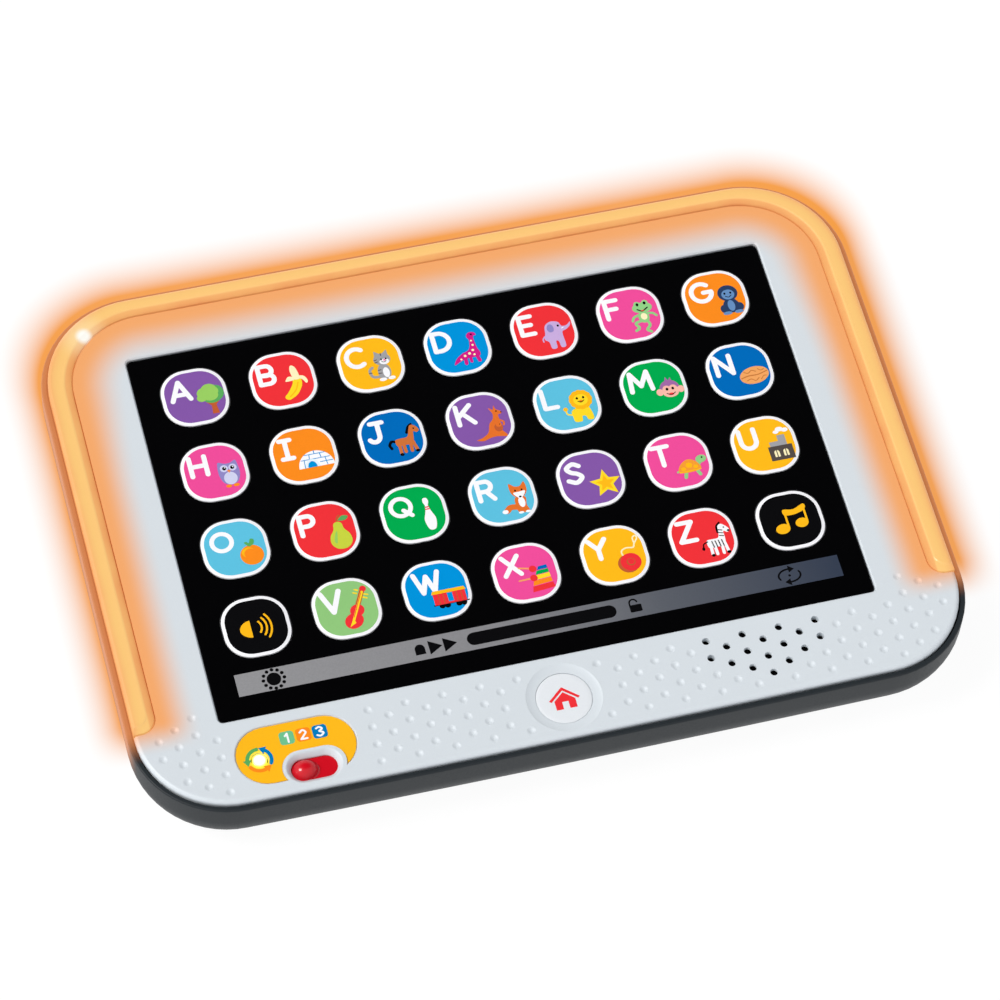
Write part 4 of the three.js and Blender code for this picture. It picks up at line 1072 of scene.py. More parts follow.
PICTURES = pictures_from(
    """
@a tree
  bark: shape 4 -7 6.1 -7 5.5 -2 4.4 -2, stroke 0.7 5 -4.4 3.2 -2.4, stroke 0.6 5.3 -4 6.9 -2.2
  dark_leaf: oval 6.4 0.2 2.4 2.7, oval 5 -1.5 2.6 1.7
  leaf: oval 2.9 0.6 2.2 2, oval 4.5 1.8 2.3 1.9, oval 4.6 -0.4 2.4 1.9, oval 1.9 -0.9 1.5 1.3,
      oval 5.9 0.9 1.4 1.5
@b banana
  lemon: soft -0.6 -6.6 0.6 -7.2 3.4 -5.6 5.3 -2.4 5 0.2 3.2 0.6 2.4 -2 0.6 -4.6 -0.6 -5.8
  cream: soft 3 0.2 2.6 2.8 3.2 4.6 4.4 3.8 5 1.2 4.9 -0.4 3.6 -0.6,
      soft 4.6 0.6 6.4 0.2 7.2 -1.6 6.6 -2.4 5.6 -0.8 4.4 -0.2,
      soft 3.2 0.4 1.6 0.8 0.6 -0.6 1.4 -0.8 3.2 -0.6
  yellow: brush 0.35 0.8 -6.2 3 -4.2 4.2 -1.6
@c cat
  grey: oval 3.6 0.8 2.6 2.1, shape 1.5 1.6 1.7 4 3.4 2.7, shape 5.7 1.6 5.6 4 3.9 2.7,
      oval 3.4 -3.6 2 2.9, brush 0.9 1.9 -5.2 -0.4 -4.8 -0.9 -2.6 0.1 -1.6
  white: oval 4.2 -0.1 1.5 1, oval 3.9 -4 1 1.8, oval 2.4 -6.3 1.1 0.6, oval 5.1 -6.2 1.1 0.6
  dark_grey: stroke 0.28 1.2 0.7 2 0.9, stroke 0.28 1.3 -0.1 2.1 0.1, stroke 0.28 3.6 2.2 3.6 2.9,
      stroke 0.28 1.7 -2.9 2.5 -2.8, stroke 0.28 1.6 -4 2.5 -4, stroke 0.28 -1.2 -3.4 -0.4 -3.4
  pink: oval 4.3 0.4 0.4 0.28
  ink: face 4.1 0.5 0.85
@d dinosaur
  magenta: soft -2.4 -6.2 -1.4 -4.2 0.8 -2.6 3 -1.6 3.9 1.4 3.4 3.2 4.3 4.4 5.9 4.2 6.4 3.2 5.4 2.6 5.6
        -1.2 6.2 -3.2 5.6 -4.4 1.8 -4.6 -0.6 -5.4, stroke 1.1 1.4 -4 1.2 -6.3, stroke 1.1 4.9 -3.8 5.4 -6,
      stroke 0.9 2.9 -4.2 2.9 -5.9
  cream: oval 1.4 -3.6 0.4, oval 2.9 -3 0.42, oval 4.2 -2 0.42, oval 4.6 -0.2 0.36, oval 4.5 1.4 0.3,
      oval 0 -4.6 0.3, oval 4.3 -3.6 0.35
  ink: oval 5 3.6 0.3
@e elephant
  lilac: soft 0 -1.2 0.6 1.6 2.6 2.8 4.8 2.2 5.6 0.6 7.2 0.6 8.4 1.6 8.2 0.4 6.8 -0.8 5.4 -1.4 5.2 -3.2
        5.2 -6.6 3.7 -6.8 3.4 -4.6 2.6 -4.5 2.4 -6.8 0.8 -6.8 0.5 -4.4 -0.6 -3.2,
      brush 0.4 -0.4 -2.2 -1.1 -3 -1.1 -4
  owl: soft 1.4 1.6 0.9 0.2 1.6 -1 2.8 -0.7 3 0.8 2.4 1.8
  ink: oval 4.5 0.9 0.32 0.4
  white: stroke 0.26 5.4 -0.2 6 0
@f frog
  frog: oval 4.2 1.6 3.1 1.9, oval 2.9 3 1, oval 5.4 3.2 1, oval 3.9 -1.8 1.7 2.1,
      brush 0.9 2.9 -3 0.9 -3.6 1.5 -5.4 0.4 -6.2, brush 0.9 4.6 -3.2 5 -5 3.8 -6.4 4.8 -7.4,
      brush 0.8 2.7 -0.8 0.9 -1.4 0.2 -2.6, brush 0.8 5.1 -0.6 6.9 -1 7.8 -2
  cream: oval 4 -1.6 1 1.2
  ink: oval 3 2.9 0.45 0.55, oval 5.3 3.1 0.45 0.55, brush 0.4 2.6 1.2 4 0.4 5.8 1.4
  red: oval 4.1 0.55 0.5 0.22
@g gorilla
  navy: oval 4.1 1 3.1 2.9, oval 4.1 -3.6 2.5 2.6, oval 1.7 -4.4 1.2 1.5, oval 6.6 -4.4 1.2 1.5
  steel_blue: oval 4.1 0.5 2 1.8, oval 4.1 -3.6 1.1 2, oval 2.3 -6.1 1.4 0.6, oval 5.9 -6.1 1.4 0.6
  ink: face 4.1 0.6 1.1
@h owl
  owl: soft 1 1.6 1.5 2.9 3.2 2.2 4.9 2.2 6.6 2.9 7 1.4 7.2 -1.6 6.2 -4.4 4.1 -5.4 1.9 -4.4 0.9 -1.6
  pale: oval 4.1 -3.1 2 2.2, oval 2.8 0.5 1.2, oval 5.4 0.5 1.2
  ink: oval 2.9 0.5 0.62, oval 5.3 0.5 0.62
  orange: shape 3.5 -0.2 4.7 -0.2 4.1 -1.3, oval 3 -5.7 0.9 0.55, oval 5.3 -5.7 0.9 0.55
  white: oval 3.1 0.7 0.2, oval 5.5 0.7 0.2
@i igloo
  white: arch 3 -4.8 5.4 0 180 20 5.6
  sky: stroke 0.26 -1.3 -2 7.3 -2, stroke 0.26 -0.1 -0.3 6.1 -0.3, stroke 0.26 3 0.8 3 -0.3,
      stroke 0.26 1.4 -0.3 1.2 -2, stroke 0.26 4.6 -0.3 4.8 -2, stroke 0.26 -0.4 -2 -0.6 -4.7,
      stroke 0.26 5.9 -2 6.2 -4.7, stroke 0.26 4.2 -3.4 8 -3.4
  ice: arch 1.7 -4.8 2.2 0 180 14 2.9
  sky: arch 1.7 -4.8 1.4 0 180 14 2.1
@j horse
  ink: brush 0.9 0.9 -1.8 -0.6 -1.4 -1.4 -2.6 -1 -3.8, brush 0.9 4.6 0.8 5.4 2.6 6.4 3.4
  brown: soft 0.6 -1.2 2.4 -0.8 4.4 -0.6 5.2 1.4 6 3.2 7.4 2.8 8.4 1.2 7.6 0.4 6.6 0.8 6.2 -1.4 5.6 -3.2
        2.8 -3.3 0.9 -3.4, stroke 1 1.5 -2.8 1.5 -6.2, stroke 1 2.7 -3 2.9 -5.6,
      stroke 1 4.9 -2.8 4.8 -5.6, stroke 1 5.7 -2.6 6.4 -5.6
  ink: stroke 0.95 1.4 -6.4 1.7 -6.4, stroke 0.95 6.3 -5.9 6.6 -5.9, oval 6.9 1.9 0.25,
      brush 0.5 4.9 1.6 5.4 2.9 6.2 3.5
@k kangaroo
  rust: soft -2.6 -6.6 -0.6 -6 1.4 -4.6 2.4 -1.8 3.8 -0.2 4.2 1.6 3.4 3.8 4.6 3 5.2 4.4 5.6 3 7 2 6.8 1.2
        5.8 0.9 5.9 -1.4 5.6 -4.2 6.8 -6.2 6.4 -6.9 3.6 -6.4 1.6 -6.6 -0.6 -7.2,
      brush 0.6 5.6 -0.8 6.8 -1.8 6.6 -2.8
  bark: oval 4.9 -3.4 1.3 1.5
  rust: oval 5.1 -2.4 0.9 0.9, oval 4.7 -1.5 0.25 0.55, oval 5.6 -1.5 0.25 0.55
  ink: oval 5.5 2.3 0.24, oval 6.9 1.7 0.2, oval 5.4 -2.4 0.16
@l lion
  lemon: soft 0.6 -3 2.2 -2 5.6 -2 6.6 -4 6.6 -6.6 4.9 -6.6 4.4 -5.2 3.4 -5.2 3 -6.8 0.9 -6.7 0.6 -5,
      brush 0.5 0.8 -4.2 -0.8 -3.6 -1 -2
  yellow: mane 4.3 0.7 2.3 2.2 1.3, oval 4.3 0.7 2.6, oval -1 -1.8 0.7
  lemon: oval 4.3 0.6 2.2 2
  orange: oval 4.3 0.3 0.5 0.32
  ink: face 4.3 0.9 1.15
@m monkey
  mauve: oval 4.6 -1.2 3 2.8, shape 3.6 1.2 4.2 2.9 4.8 1.5 5.6 2.5 5.8 1
  skin: oval 1.4 -2.2 1.1 1.2, oval 7.8 -2.2 1.1 1.2, oval 3.6 -1.6 1.3 1.4, oval 5.6 -1.6 1.3 1.4,
      oval 4.6 -2.9 2.4 1.6
  red: oval 4.6 -3.4 0.8 0.45
  ink: oval 3.7 -1.5 0.42 0.5, oval 5.5 -1.5 0.42 0.5, brush 0.26 3.3 -3 4.6 -3.7 5.9 -3
@n nut
  nut: oval 3.9 -2.4 4.6 3 8
  dark_nut: brush 0.34 -0.2 -2.9 2 -2.4 5 -2.4 8 -1.6, brush 0.26 1 -0.9 2.2 -1.4 3.4 -0.6 4.6 -1.2,
      brush 0.26 5.4 -0.4 6.2 -1.1 7.2 -0.8, brush 0.26 1.2 -4 2.6 -3.6 3.8 -4.4 5 -3.6,
      brush 0.26 5.6 -4.2 6.6 -3.2 7.4 -3.2
@o orange
  orange: oval 4.3 -3.2 3.5 3.4
  yellow: oval 3.4 -2.2 1.9 1.7
  orange: oval 3.9 -2.7 1.8 1.7
  dark_leaf: soft 3.9 -0.2 2.8 1.2 3.6 1.4 4.2 0.9 4.8 2.2 5.8 1.9 5.6 0.6 4.7 -0.1
@p pear
  bark: brush 0.55 4 1.6 4.2 3.2 5 4.2
  dark_leaf: soft 4.4 2.6 5.8 4 7.6 3.6 6.6 2.4
  pear: soft 4 2.2 5.2 1.6 5.6 -0.4 6.9 -2.4 7.1 -5 5.4 -6.9 2.6 -6.9 0.9 -5 1.1 -2.4 2.4 -0.4 2.8 1.6
  leaf: soft 2.7 -1.6 3.4 -1 3 -3.2 2.6 -5 1.9 -4.2
@q bowling_pin
  white: soft 3.6 4.4 4.6 4.4 5 3.2 4.6 1.6 5.2 -0.6 5.9 -2.8 5.6 -5.2 4.9 -6.5 3.5 -6.5 2.8 -5.2 2.5
        -2.8 3.2 -0.6 3.7 1.6 3.3 3.2
  red: stroke 0.42 3.75 1.3 4.6 1.3, stroke 0.42 3.65 0.6 4.75 0.6
@r fox
  rust: brush 1.9 4.2 -4.8 1.4 -4.4 0 -5.4, soft 3.4 -1.4 3 -4.6 3.6 -6.6 6.6 -6.6 6.2 -4.4 6.4 -1.6,
      soft 2.6 0.2 2.5 3.6 4.2 2.4 5.8 2.4 7.2 3.6 7.4 0.4 5.6 -1.8 4.4 -1.8
  white: oval -0.6 -5.6 0.9 0.7, oval 5 -3.2 1 1.8, soft 3.2 0.2 4.9 0.4 6.9 0.4 5.6 -1.6 4.4 -1.6,
      oval 4 -6.7 0.8 0.4, oval 6.1 -6.7 0.8 0.4
  ink: oval 5 -1.3 0.42 0.3, oval 4 1 0.28 0.34, oval 6 1 0.28 0.34
@s star
  lemon: star 4 -2.4 4.9 2.25
  yellow: star 4 -2.4 2.9 1.3
@t turtle
  frog: oval 6.9 -0.4 1.7 1.3 12, brush 1 4.4 -2.8 5.8 -2 6.6 -1, stroke 1.1 1.4 -4.2 0.9 -5.8,
      stroke 1.1 4.9 -4.2 5.4 -5.6, stroke 0.7 -1 -3.6 0.4 -3.4
  shell: soft -0.6 -3.9 0.2 -1.4 2.8 0.2 5.2 -1 6.2 -3.6 3 -4.4
  yellow: oval 2.8 -1.9 1 0.9, oval 0.9 -2.9 0.7 0.6, oval 4.7 -2.7 0.7 0.6, stroke 0.35 -0.4 -4 6 -3.8
  ink: oval 7.3 0 0.26 0.32
@u factory
  grey: shape 1.4 -1.6 1.4 0.4 4.2 0.4 4.2 2.4 6.6 2.4 6.6 -1.6
  dark_grey: shape 0.6 -6.2 8 -6.2 8 -1.2 0.6 -1.2
  cream: window 2.8 -3.4 0.8 -5, window 5.6 -3.4 0.8 -5
  white: oval 4.4 3.6 0.9 0.6, oval 5.6 4.4 1.2 0.8, oval 7.2 3.9 1 0.7
  dark_grey: stroke 0.3 2.8 -2.7 2.8 -5, stroke 0.3 5.6 -2.7 5.6 -5
@v violin
  bark: stroke 1.5 2.4 -1.6 5.6 4.8
  red: oval 2.8 -1.4 2.2 2 30, oval 1.2 -4.6 2.9 2.5 30, oval 6 5.4 1
  lemon: stroke 0.75 1 -4.6 5.5 4.4, shape -0.4 -6.4 1.6 -5.4 1 -3.8
  red: stroke 0.2 1.4 -3.4 5.2 4.2
  lemon: stroke 0.45 6 3.6 7 3.2, stroke 0.45 5.5 2.6 6.5 2.1, stroke 0.45 4.4 5.2 3.6 5.6,
      stroke 0.45 3.9 4.2 3 4.6
@w wagon
  ink: oval 0.4 -5.4 0.9, oval 2 -5.5 0.9, oval 5.4 -5.6 0.9, oval 6.9 -5.6 0.9, stroke 0.4 -1.8 -5 8.6 -5
  red: shape -1.6 -5 8 -5 8 -1 -1.6 -1
  sky: shape 2.6 -4.4 4.2 -4.4 4.2 -1.4 2.6 -1.4
  yellow: shape -2 -1.3 8.4 -1.3 7.9 -0.2 -1.5 -0.2
  bark: stroke 0.22 0 -4.8 0 -1.4, stroke 0.22 1.4 -4.8 1.4 -1.4, stroke 0.22 5.4 -4.8 5.4 -1.4,
      stroke 0.22 6.8 -4.8 6.8 -1.4
@x xylophone
  red: shape 0.4 -7 7.4 -6.4 7 -4.6 0.9 -5.1
  orange: shape 1 -4.9 7 -4.4 6.8 -2.9 1.5 -3.3
  lemon: shape 1.7 -3.1 6.8 -2.7 6.7 -1.3 2.3 -1.6
  green: shape 2.6 -1.4 6.7 -1.1 6.6 0.1 3.1 -0.1
  blue: shape 3.4 0.1 6.6 0.3 6.5 1.5 3.9 1.3
  nut: stroke 0.5 -1.8 1.9 1.6 1, stroke 0.5 -2.6 -2.4 1.2 -2.3
  red: oval 2.2 0.8 1.1, oval 1.8 -2.3 1.1
@y toy_on_a_string
  cream: brush 0.45 2.6 -2 2.2 0.6 3.8 1.6 6 1.4 6.6 2.6 7.8 4.2 7.6 5.2 6.6 4.6 6.6 3
  bark: oval 3.3 -3.7 3.2 3.1
  red: oval 4.1 -3.3 3.1 3
  bark: oval 4.1 -3.3 1.3 1.25
  red: oval 4.2 -3.2 1 0.95
@z zebra
  white: soft 0.8 -1.4 2.6 -1.2 4.4 -1 5 1 5.2 2.8 6.4 3.4 7.8 2.2 8.4 0.9 7.6 0.3 6.5 0.8 6.4 -1.6 5.8
        -3.8 3 -4 0.9 -3.9, stroke 0.95 1.5 -3.4 1.4 -6.6, stroke 0.95 2.7 -3.6 2.8 -6.4,
      stroke 0.95 4.9 -3.4 4.8 -6.4, stroke 0.95 5.9 -3.2 6.3 -6.4
  ink: stripes, stroke 0.95 1.4 -6.6 1.6 -6.6, stroke 0.95 6.2 -6.4 6.5 -6.4, oval 8 0.8 0.42 0.34,
      oval 6.9 2.1 0.24, brush 0.6 4.7 0.8 4.9 2.8 6 3.9, brush 0.4 0.9 -1.8 -0.4 -2.4 -0.7 -3.6,
      oval -0.8 -3.9 0.45 0.6
@sound loudspeaker
  yellow: arch -1.2 -0.6 3.7 96 264 16 2.9
  yellow: wave 0.62 -1.4 -0.4 2.9 -38 38 10, wave 0.62 -1.6 -0.4 4.6 -38 38 10,
      wave 0.62 -1.8 -0.4 6.2 -38 38 12
@music notes
  yellow: oval -2.9 -2.5 2.2 1.7 8, oval 3.2 -1.5 2 1.6 8, stroke 0.65 -1.05 -2 -1.05 3.4,
      stroke 0.65 4.9 -1.2 4.9 4.2, soft -1.3 3.9 1.8 3.5 5.2 4.8 5.2 2.9 1.8 1.7 -1.3 2
  ink: oval -2.9 -2.5 0.9 0.55 20, oval 3.2 -1.5 0.8 0.5 20
  yellow: oval -2.9 -2.5 0.9 0.55 20, oval 3.2 -1.5 0.8 0.5 20
"""
)


KEY_INK_ROWS = """
purple red yellow sky red pink orange
pink orange blue purple cyan green blue
cyan red green cyan purple pink yellow
ink lime sky pink yellow red ink
"""
KEY_INKS = dict(zip(KEY_PLACES, KEY_INK_ROWS.split()))
LAYER = 0.007
# How far some letters stand off the usual place, and their size.
LETTER_PLACES = {
    "o": (0.3, 0.2, 0.92),
    "q": (0.3, 0.2, 0.93),
    "v": (0.1, -0.2, 1.06),
    "w": (1.0, 0.2, 1.0),
    "x": (0.7, 0.3, 0.98),
    "k": (0.5, 0.1, 1.0),
}


def make_key(name):
    x, y = KEY_PLACES[name]
    names = ["white", KEY_INKS[name]]
    shell = Shell()
    tile = [(21.5, 1.0), (22.4, 1.0), (22.4, 0.0), (SCREEN_TOP - 0.16, 0.0)]
    tile += [(SCREEN_TOP - 0.05, -0.05), (SCREEN_TOP, -0.16)]
    shell.layers(lambda g: square(x, y, KEY_HALF + g, KEY_CORNER + g, 10), tile, 0)
    low = SCREEN_TOP - 0.3
    top = SCREEN_TOP + LAYER
    field = square(x, y, KEY_HALF - KEY_OUTLINE, KEY_CORNER - KEY_OUTLINE, 10)
    shell.printed([field], low, top, 1)
    if len(name) == 1:
        top += LAYER
        shift_x, shift_y, size = LETTER_PLACES.get(name, (0, 0, 1))
        letter = moved(lettering(name), x - 6.75 + shift_x, y - 0.35 + shift_y, size)
        shell.printed(letter, low, top, 0)
    for colour, polygons in PICTURES[name]:
        top += LAYER
        if colour not in names:
            names.append(colour)
        shell.printed(moved(polygons, x, y), low, top, names.index(colour))
    obj = mesh_object("tile_" + name, shell, [ink(n) for n in names])
    finished(obj, f"key_{name}_body", [f"key_{name}"], 32, False)


# ------------------------------------------------------------------ lower band
def make_label():
    steps = [(24.44, 0.0), (LABEL_TOP - 0.06, 0.0), (LABEL_TOP, -0.06)]
    shell = Shell().layers(lambda g: obround(LABEL, g), steps)
    obj = mesh_object("mode_label", shell, [label_print])
    cuts = Shell().layers(lambda g: obround(WELL, g), [(20, 0.12), (28, 0.12)])
    cuts.turned(LED[0], LED[1], [(2.5, 20), (2.5, 28)], steps=32)
    carve(obj, cuts)
    finished(obj, "case", ["stage_label"])

    art = Shell()
    inks = ["teal", "orange", "deep_sky", "white", "dark_leaf"]
    tiles = ((-80.9, -69.4, 0), (-76.0, -69.35, 1), (-71.2, -69.4, 2))
    for x, y, mark in tiles:
        art.printed([square(x, y, 2.15, 1.0, 5)], LABEL_TOP - 0.2, LABEL_TOP + 0.01, mark)
    for (x, y, _), digit in zip(tiles, "123"):
        wide = {"1": 1.5, "2": 2.2, "3": 2.1}[digit]
        glyph = moved(lettering(digit, 1.3), x - wide * 0.46, y - 1.4, 0.45)
        art.printed(glyph, LABEL_TOP - 0.2, LABEL_TOP + 0.02, 3)
    ring_r = 3.5
    for start, mark in ((92, 4), (-28, 2), (212, 1)):
        ring = arc(LED[0], LED[1], ring_r, start, start + 96, 12)
        polygons = stroke(1.1, *ring[:-2])
        a = math.radians(start + 88)
        across = Vector((math.cos(a), math.sin(a)))
        ahead = Vector((-math.sin(a), math.cos(a)))
        tip = Vector(LED[:2]) + across * ring_r
        point = [tip + ahead * 1.5] + [tip + across * side - ahead * 0.5 for side in (1.25, -1.25)]
        polygons += shape(*[tuple(p) for p in point])
        art.printed(polygons, LABEL_TOP - 0.2, LABEL_TOP + 0.01, mark)
    print_on("mode_print", art, [ink(n) for n in inks], "case")

    x, y, r = LED
    lens = [(r + 0.5, 18.8), (r + 0.5, 19.7), (r, 19.7), (r, 24.1), (r * 0.93, 24.4)]
    lens += [(r * 0.75, 24.58), (r * 0.45, 24.68), (r * 0.12, 24.7)]
    obj = mesh_object("mode_lamp", Shell().turned(x, y, lens), [lit_lens])
    finished(obj, "case", ["stage_led"])


KEYPAD_SHEET = 0.9
KEY_DOME_ROOM = 0.35
HOME_DOME_ROOM = 0.75


def make_dome(name, x, y, base, profile, joint, room, nodes=()):
    """A rubber dome; room, how far it would flatten as the key above it goes down, is not used."""
    obj = mesh_object(name, Shell().turned(x, y, profile, steps=32), [rubber])
    finished(obj, "case", list(nodes), 50)
    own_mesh(obj)


def make_keypad():
    """The rubber sheet on the board, with a dome under each key and one under the home button."""
    low, high = node_box("rubber_keypad")
    base = low.z + KEYPAD_SHEET
    sheet = Shell().layers(
        lambda g: rounded_box(low.x + g, high.x - g, low.y + g, high.y - g, 3.0),
        [(low.z, 0.0), (base - 0.2, 0.0), (base, 0.2)],
    )
    obj = mesh_object("keypad_sheet", sheet, [rubber])
    finished(obj, "case", ["rubber_keypad"], 50)
    for name, (x, y) in KEY_PLACES.items():
        rise = high.z - base
        profile = [(6.4, base - 0.1), (6.3, base + 0.15), (5.3, base + rise * 0.7)]
        profile += [(5.0, high.z - 0.15), (4.8, high.z)]
        joint = f"key_{name}_press"
        make_dome("dome_" + name, x, y, base, profile, joint, KEY_DOME_ROOM)
    low, high = node_box("home_dome")
    profile = [(5.0, low.z), (4.6, low.z + 0.3), (3.9, high.z - 0.2), (3.6, high.z)]
    make_dome("dome_home", *HOME, low.z, profile, "home_press", HOME_DOME_ROOM, ["home_dome"])


def make_slider():
    """A flat slide plate with a ball-like knob near its left end."""
    low, high = node_box("mode_slider")
    plate_top = 22.8
    shell = Shell().layers(
        lambda g: rounded_box(low.x + g, high.x - g, low.y + g, high.y - g, 1.2),
        [(21.7, 0), (plate_top - 0.15, 0), (plate_top, 0.15)],
    )
    obj = mesh_object("mode_knob", shell, [red_plastic])
    x, y = KNOB_X, SLOT[1]
    rings = [(20.4, 1.0, 1.0), (22.0, 1.0, 1.0)]
    carve(obj, Shell().layers(lambda a, b: circle(x, y, a, 24, b), rings), "UNION")
    dome = [(22.4, 4.6, 4.0), (22.82, 4.2, 3.6), (23.0, 3.85, 3.25)]
    for i in range(1, 11):
        a = math.radians(9 * i)
        reach = math.cos(a) * 0.985 + 0.015
        dome.append((22.75 + (high.z - 22.75) * math.sin(a), 3.65 * reach, 3.15 * reach))
    shell = Shell().layers(lambda a, b: circle(x, y, a, 48, b), dome)
    carve(obj, shell, "UNION")
    finished(obj, "slider_body", ["mode_slider"], 50)


def make_home():
    x, y = HOME
    top = node_box("home_button")[1].z
    profile = [(3, 20.3), (3, 21.7), (9.55, 21.7), (9.55, 22.7), (HOME_R, 22.7), (HOME_R, top - 0.45)]
    profile += [(HOME_R - 0.12, top - 0.2), (HOME_R - 0.45, top - 0.08), (HOME_R - 1.2, top - 0.03)]
    profile += [(HOME_R * 0.6, top - 0.01), (1.0, top)]
    obj = mesh_object("home_cap", Shell().turned(x, y, profile, steps=72), [home_plastic])
    finished(obj, "home_body", ["home_button"], 32)
    art = Shell()
    roof = shape((-4.6, 0.0), (0.0, 3.9), (4.6, 0.0), (4.0, -0.55), (0.0, 2.8), (-4.0, -0.55))
    right = [(0.95, -0.9), (0.95, -3.3), (3.1, -3.3), (3.1, -0.35)]
    walls = shape(*[(-px, py) for px, py in right[::-1][1:]], *right, (0.0, 2.2), (-3.1, -0.35))
    art.printed(moved(roof + walls, x, y - 0.3), top - 0.3, top + 0.012, 0)
    print_on("home_print", art, [ink("red")], "home_body")


# ------------------------------------------------------------------ rear door, screws and cells
DOOR_TAB = [(26.9, 1.2), (28.1, 1.2), (28.1, 2.4), (31.5, 2.4), (31.5, 3.3), (31.2, 3.6), (26.9, 3.6)]


def make_door():
    shell = Shell().layers(door_outline, [(0.5, -0.25), (0.58, -0.08), (0.75, 0.0), (1.8, 0.0)])
    obj = mesh_object("cell_door", shell, [door_plastic])
    x, y = DOOR_SCREW
    carve(obj, Shell().turned(x, y, [(5.55, 0.5), (5.72, 0.58), (5.8, 0.75), (5.8, 1.8)]), "UNION")
    more = Shell().turned(x, y, [(5.2, 1.2), (5.2, 4.0)])
    for side in (-14, 14):
        more.across(DOOR_TAB, side - 4, side + 4)
    carve(obj, more, "UNION")
    cuts = Shell().turned(x, y, [(3.45, -1), (3.3, 0.52), (3.2, 0.75), (3.2, 2.4), (1.8, 2.4), (1.8, 6)])
    for row in range(5):
        wide = 7.0 - row
        cuts.prism(rounded_box(-wide, wide, -1.0 + row * 2.4, 0.1 + row * 2.4, 0.5, 4), -1, 0.85)
    carve(obj, cuts)
    finished(obj, "battery_door_body", ["battery_door"])


def make_screw(name, node_name, body, x, y, head_r, low, head_top, tip):
    """A pan-head screw seen from below, with a cross recess and a threaded shank."""
    profile = [(head_r - 0.75, low), (head_r - 0.3, low + 0.12), (head_r, low + 0.5)]
    profile += [(head_r, head_top - 0.1), (1.35, head_top), (1.35, head_top + 0.6)]
    z = head_top + 0.6
    while z < tip - 1.6:
        profile += [(1.02, z + 0.05), (1.02, z + 0.22), (1.38, z + 0.4), (1.38, z + 0.46)]
        z += 0.7
    profile += [(1.0, tip - 1.0), (0.25, tip)]
    obj = mesh_object(name, Shell().turned(x, y, profile, steps=36), [steel])
    cross = Shell()
    long, wide = head_r * 0.58, head_r * 0.14
    cross.block(x - long, x + long, y - wide, y + wide, low - 1, low + 0.85)
    cross.block(x - wide, x + wide, y - long, y + long, low - 1, low + 0.85)
    carve(obj, cross, "DIFFERENCE", True)
    finished(obj, body, [node_name], 36)


def make_cell(number):
    low, high = node_box(f"battery_{number}")
    y = BAY_Y + (2 - number) * CELL_PITCH
    way = -1 if number == 2 else 1
    r = 5.25
    # (radius, distance from the flat end, material)
    profile = [(3.4, 0.0, 2), (4.4, 0.05, 2), (4.75, 0.35, 2), (4.75, 0.6, 2), (r, 0.75, 0)]
    profile += [(r, 11.0, 1), (r, 12.0, 0), (r, 36.5, 0), (r, 42.9, 0), (4.9, 43.25, 2)]
    profile += [(4.2, 43.35, 2), (4.0, 43.1, 2), (2.4, 43.15, 2), (1.85, 43.5, 2), (1.8, 44.2, 2)]
    profile += [(1.4, 44.5, 2)]
    shell = Shell()
    ring = [(rad, low.x + d if way > 0 else high.x - d) for rad, d, _ in profile]
    marks = [m for _, _, m in profile]
    if way < 0:
        ring.reverse()
        marks = marks[:-1][::-1] + [2]
    shell.rolled(y, CELL_Z, ring, 0, 40)
    for k in range(len(ring) - 1):
        for i in range(40):
            shell.marks[k * 40 + i] = marks[k]
    shell.marks[-2:] = [2, 2]
    obj = mesh_object(f"cell_{number}", shell, [wrap_dark, wrap_light, nickel])
    finished(obj, "case", [f"battery_{number}"], 36)


def make_contact(node_name, side, rows):
    """A bent plate at one end of the bay; rows are (cell number, whether a spring stands there)."""
    low, high = node_box(node_name)
    inner, outer = 25.6 * side, 26.1 * side
    plate = rounded_box(low.y, high.y, low.z, high.z, 1.0, 5)
    shell = Shell().across(plate, *sorted((inner, outer)))
    for number, spring in rows:
        y = BAY_Y + (2 - number) * CELL_PITCH
        if spring:
            path = []
            turns = 3.5
            for i in range(85):
                t = i / 84
                a = TAU * turns * t
                r = 3.0 - 1.2 * t
                reach = 0.1 + 3.1 * t
                path.append((inner - side * reach, y + r * math.cos(a), CELL_Z + r * math.sin(a)))
            shell.tube(path, 0.24)
        else:
            nub = [(2.0, 0.2), (2.0, -1.4), (1.7, -1.9), (1.0, -2.2), (0.4, -2.3)]
            ring = [(r, inner + side * d) for r, d in nub]
            if side > 0:
                ring.reverse()
            shell.rolled(y, CELL_Z, ring)
    obj = mesh_object("plate_" + node_name, shell, [nickel])
    finished(obj, "case", [node_name], 36)


# ------------------------------------------------------------------ everything
make_housing()
make_bezel()
make_border()
make_screen()
make_keypad()
for key_name in KEY_PLACES:
    make_key(key_name)
make_label()
make_slider()
make_home()
make_door()
make_screw("door_screw", "battery_door_screw", "door_screw_body", *DOOR_SCREW, 2.8, 0.7, 2.1, 7)
for index, (sx, sy) in enumerate(CASE_SCREWS, 1):
    make_screw(f"shell_screw_{index}", f"case_screw_{index}", "case", sx, sy, 3.0, 3.8, 5.8, 20)
for cell_number in (1, 2, 3):
    make_cell(cell_number)
make_contact("contact_negative", -1, [(1, True)])
make_contact("contact_positive", 1, [(3, False)])
make_contact("contact_bridge_right", 1, [(1, False), (2, True)])
make_contact("contact_bridge_left", -1, [(2, False), (3, True)])

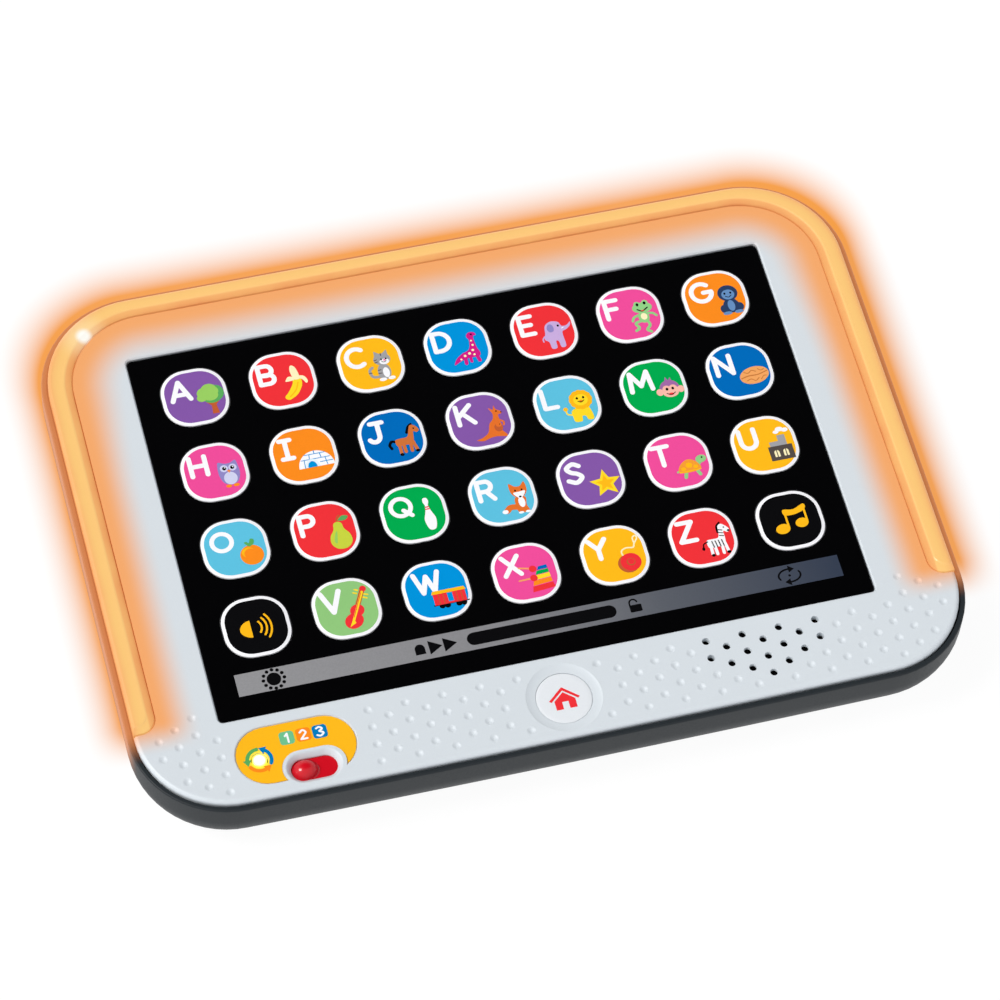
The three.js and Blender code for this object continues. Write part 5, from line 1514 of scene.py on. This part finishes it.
CARRIED = {
    "main_board": (board, "circuit_board"),
    "control_chip": (black_resin, "chip_black"),
    "mode_switch_body": (steel, "steel"),
    "speaker_frame": (steel, "steel"),
    "speaker_cone": (cone_paper, "cone_black"),
    "border_led_left": (led_plastic, "led_clear"),
    "border_led_right": (led_plastic, "led_clear"),
    "battery_lead": (red_wire, "wire_red"),
    "speaker_lead": (black_wire, "wire_black"),
}
for carried, (material, slot_name) in CARRIED.items():
    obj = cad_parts[carried]
    obj.data.materials.clear()
    obj.data.materials.append(material)


# ------------------------------------------------------------------ stage, light and camera
# Where the line from the viewer to a spot on the floor crosses the height of the tablet's front.
FLOOR_TO_FRONT = 0.9793
FLOOR_SHIFT = (5.0, 14.4)


def floor_looks(tree):
    """A pale floor with the border's warm light on it, fading away from the tablet."""
    x, y, _ = coordinates(tree)
    x = x * FLOOR_TO_FRONT - FLOOR_SHIFT[0]
    y = y * FLOOR_TO_FRONT - FLOOR_SHIFT[1]
    away = corner_distance(x, y, 126.0, 89.6, 31.0)
    reach = y.step(55.0, 92.0) * 3.7 + 12.3
    fade = (away / reach).maths("MULTIPLY_ADD", -1.0, 1.0, clamp=True).maths("POWER", 1.8)
    share = fade * y.step(-70.0, -55.0) * noise(tree, 60, 2).spread(0.94, 1.0)
    plain = noise(tree, 30, 2).blend((0.985, 0.985, 0.985, 1), (1.0, 1.0, 1.0, 1))
    colour = share.blend(plain, srgb(243, 158, 72))
    return {
        "Base Color": blend_colour(tree, 0.92, colour, (0, 0, 0, 1)),
        "Emission Color": colour,
        "Emission Strength": 0.95,
        "Roughness": 0.9,
        "Specular IOR Level": 0.0,
    }


corners = [(-4000, -4000, -0.2), (4000, -4000, -0.2), (4000, 4000, -0.2), (-4000, 4000, -0.2)]
ground = Shell().add(corners, [(0, 1, 2, 3)])
floor = mesh_object("floor", ground, [material_of("pale_floor", floor_looks)])

# The view's axes and where it is taken from, in metres.
BACK = Vector((-0.17307, -0.49520, 0.85137))
RIGHT = Vector((0.96656, -0.25147, 0.05021))
UP = Vector((0.18923, 0.83159, 0.52216))
EYE = Vector((-0.2418, -0.6940, 1.2080))

# A bright studio with a dark patch where the black screen mirrors it.
world = bpy.data.worlds.new("studio")
scene.world = world
world.use_nodes = True
sky = world.node_tree
background = sky.nodes["Background"]
direction = node(sky, "ShaderNodeTexCoord", output="Generated")
toward = {0: direction, 1: (-BACK.x, -BACK.y, BACK.z)}
dark = node(sky, "ShaderNodeVectorMath", toward, "Value", operation="DOT_PRODUCT").step(0.74, 0.94)
feed(sky, background, {"Color": dark.blend((0.86, 0.87, 0.9, 1), (0.03, 0.03, 0.035, 1))})
background.inputs["Strength"].default_value = 0.8

lamp = bpy.data.lights.new("key_light", "SUN")
lamp.energy = 2.3
lamp.angle = math.radians(24)
lamp.color = (1.0, 0.985, 0.96)
sun = bpy.data.objects.new("key_light", lamp)
scene.collection.objects.link(sun)
sun.rotation_mode = "QUATERNION"
sun.rotation_quaternion = Vector((0.62, -0.08, -0.78)).to_track_quat("-Z", "Y")

lens = bpy.data.cameras.new("camera")
lens.lens = 169.35
lens.sensor_width = 36.0
lens.clip_start = 0.05
lens.clip_end = 20.0
camera = bpy.data.objects.new("camera", lens)
scene.collection.objects.link(camera)
columns = [(*axis, 0) for axis in (RIGHT, UP, BACK)] + [(*EYE, 1)]
camera.matrix_world = Matrix(columns).transposed()
scene.camera = camera
scene.view_settings.view_transform = "Standard"
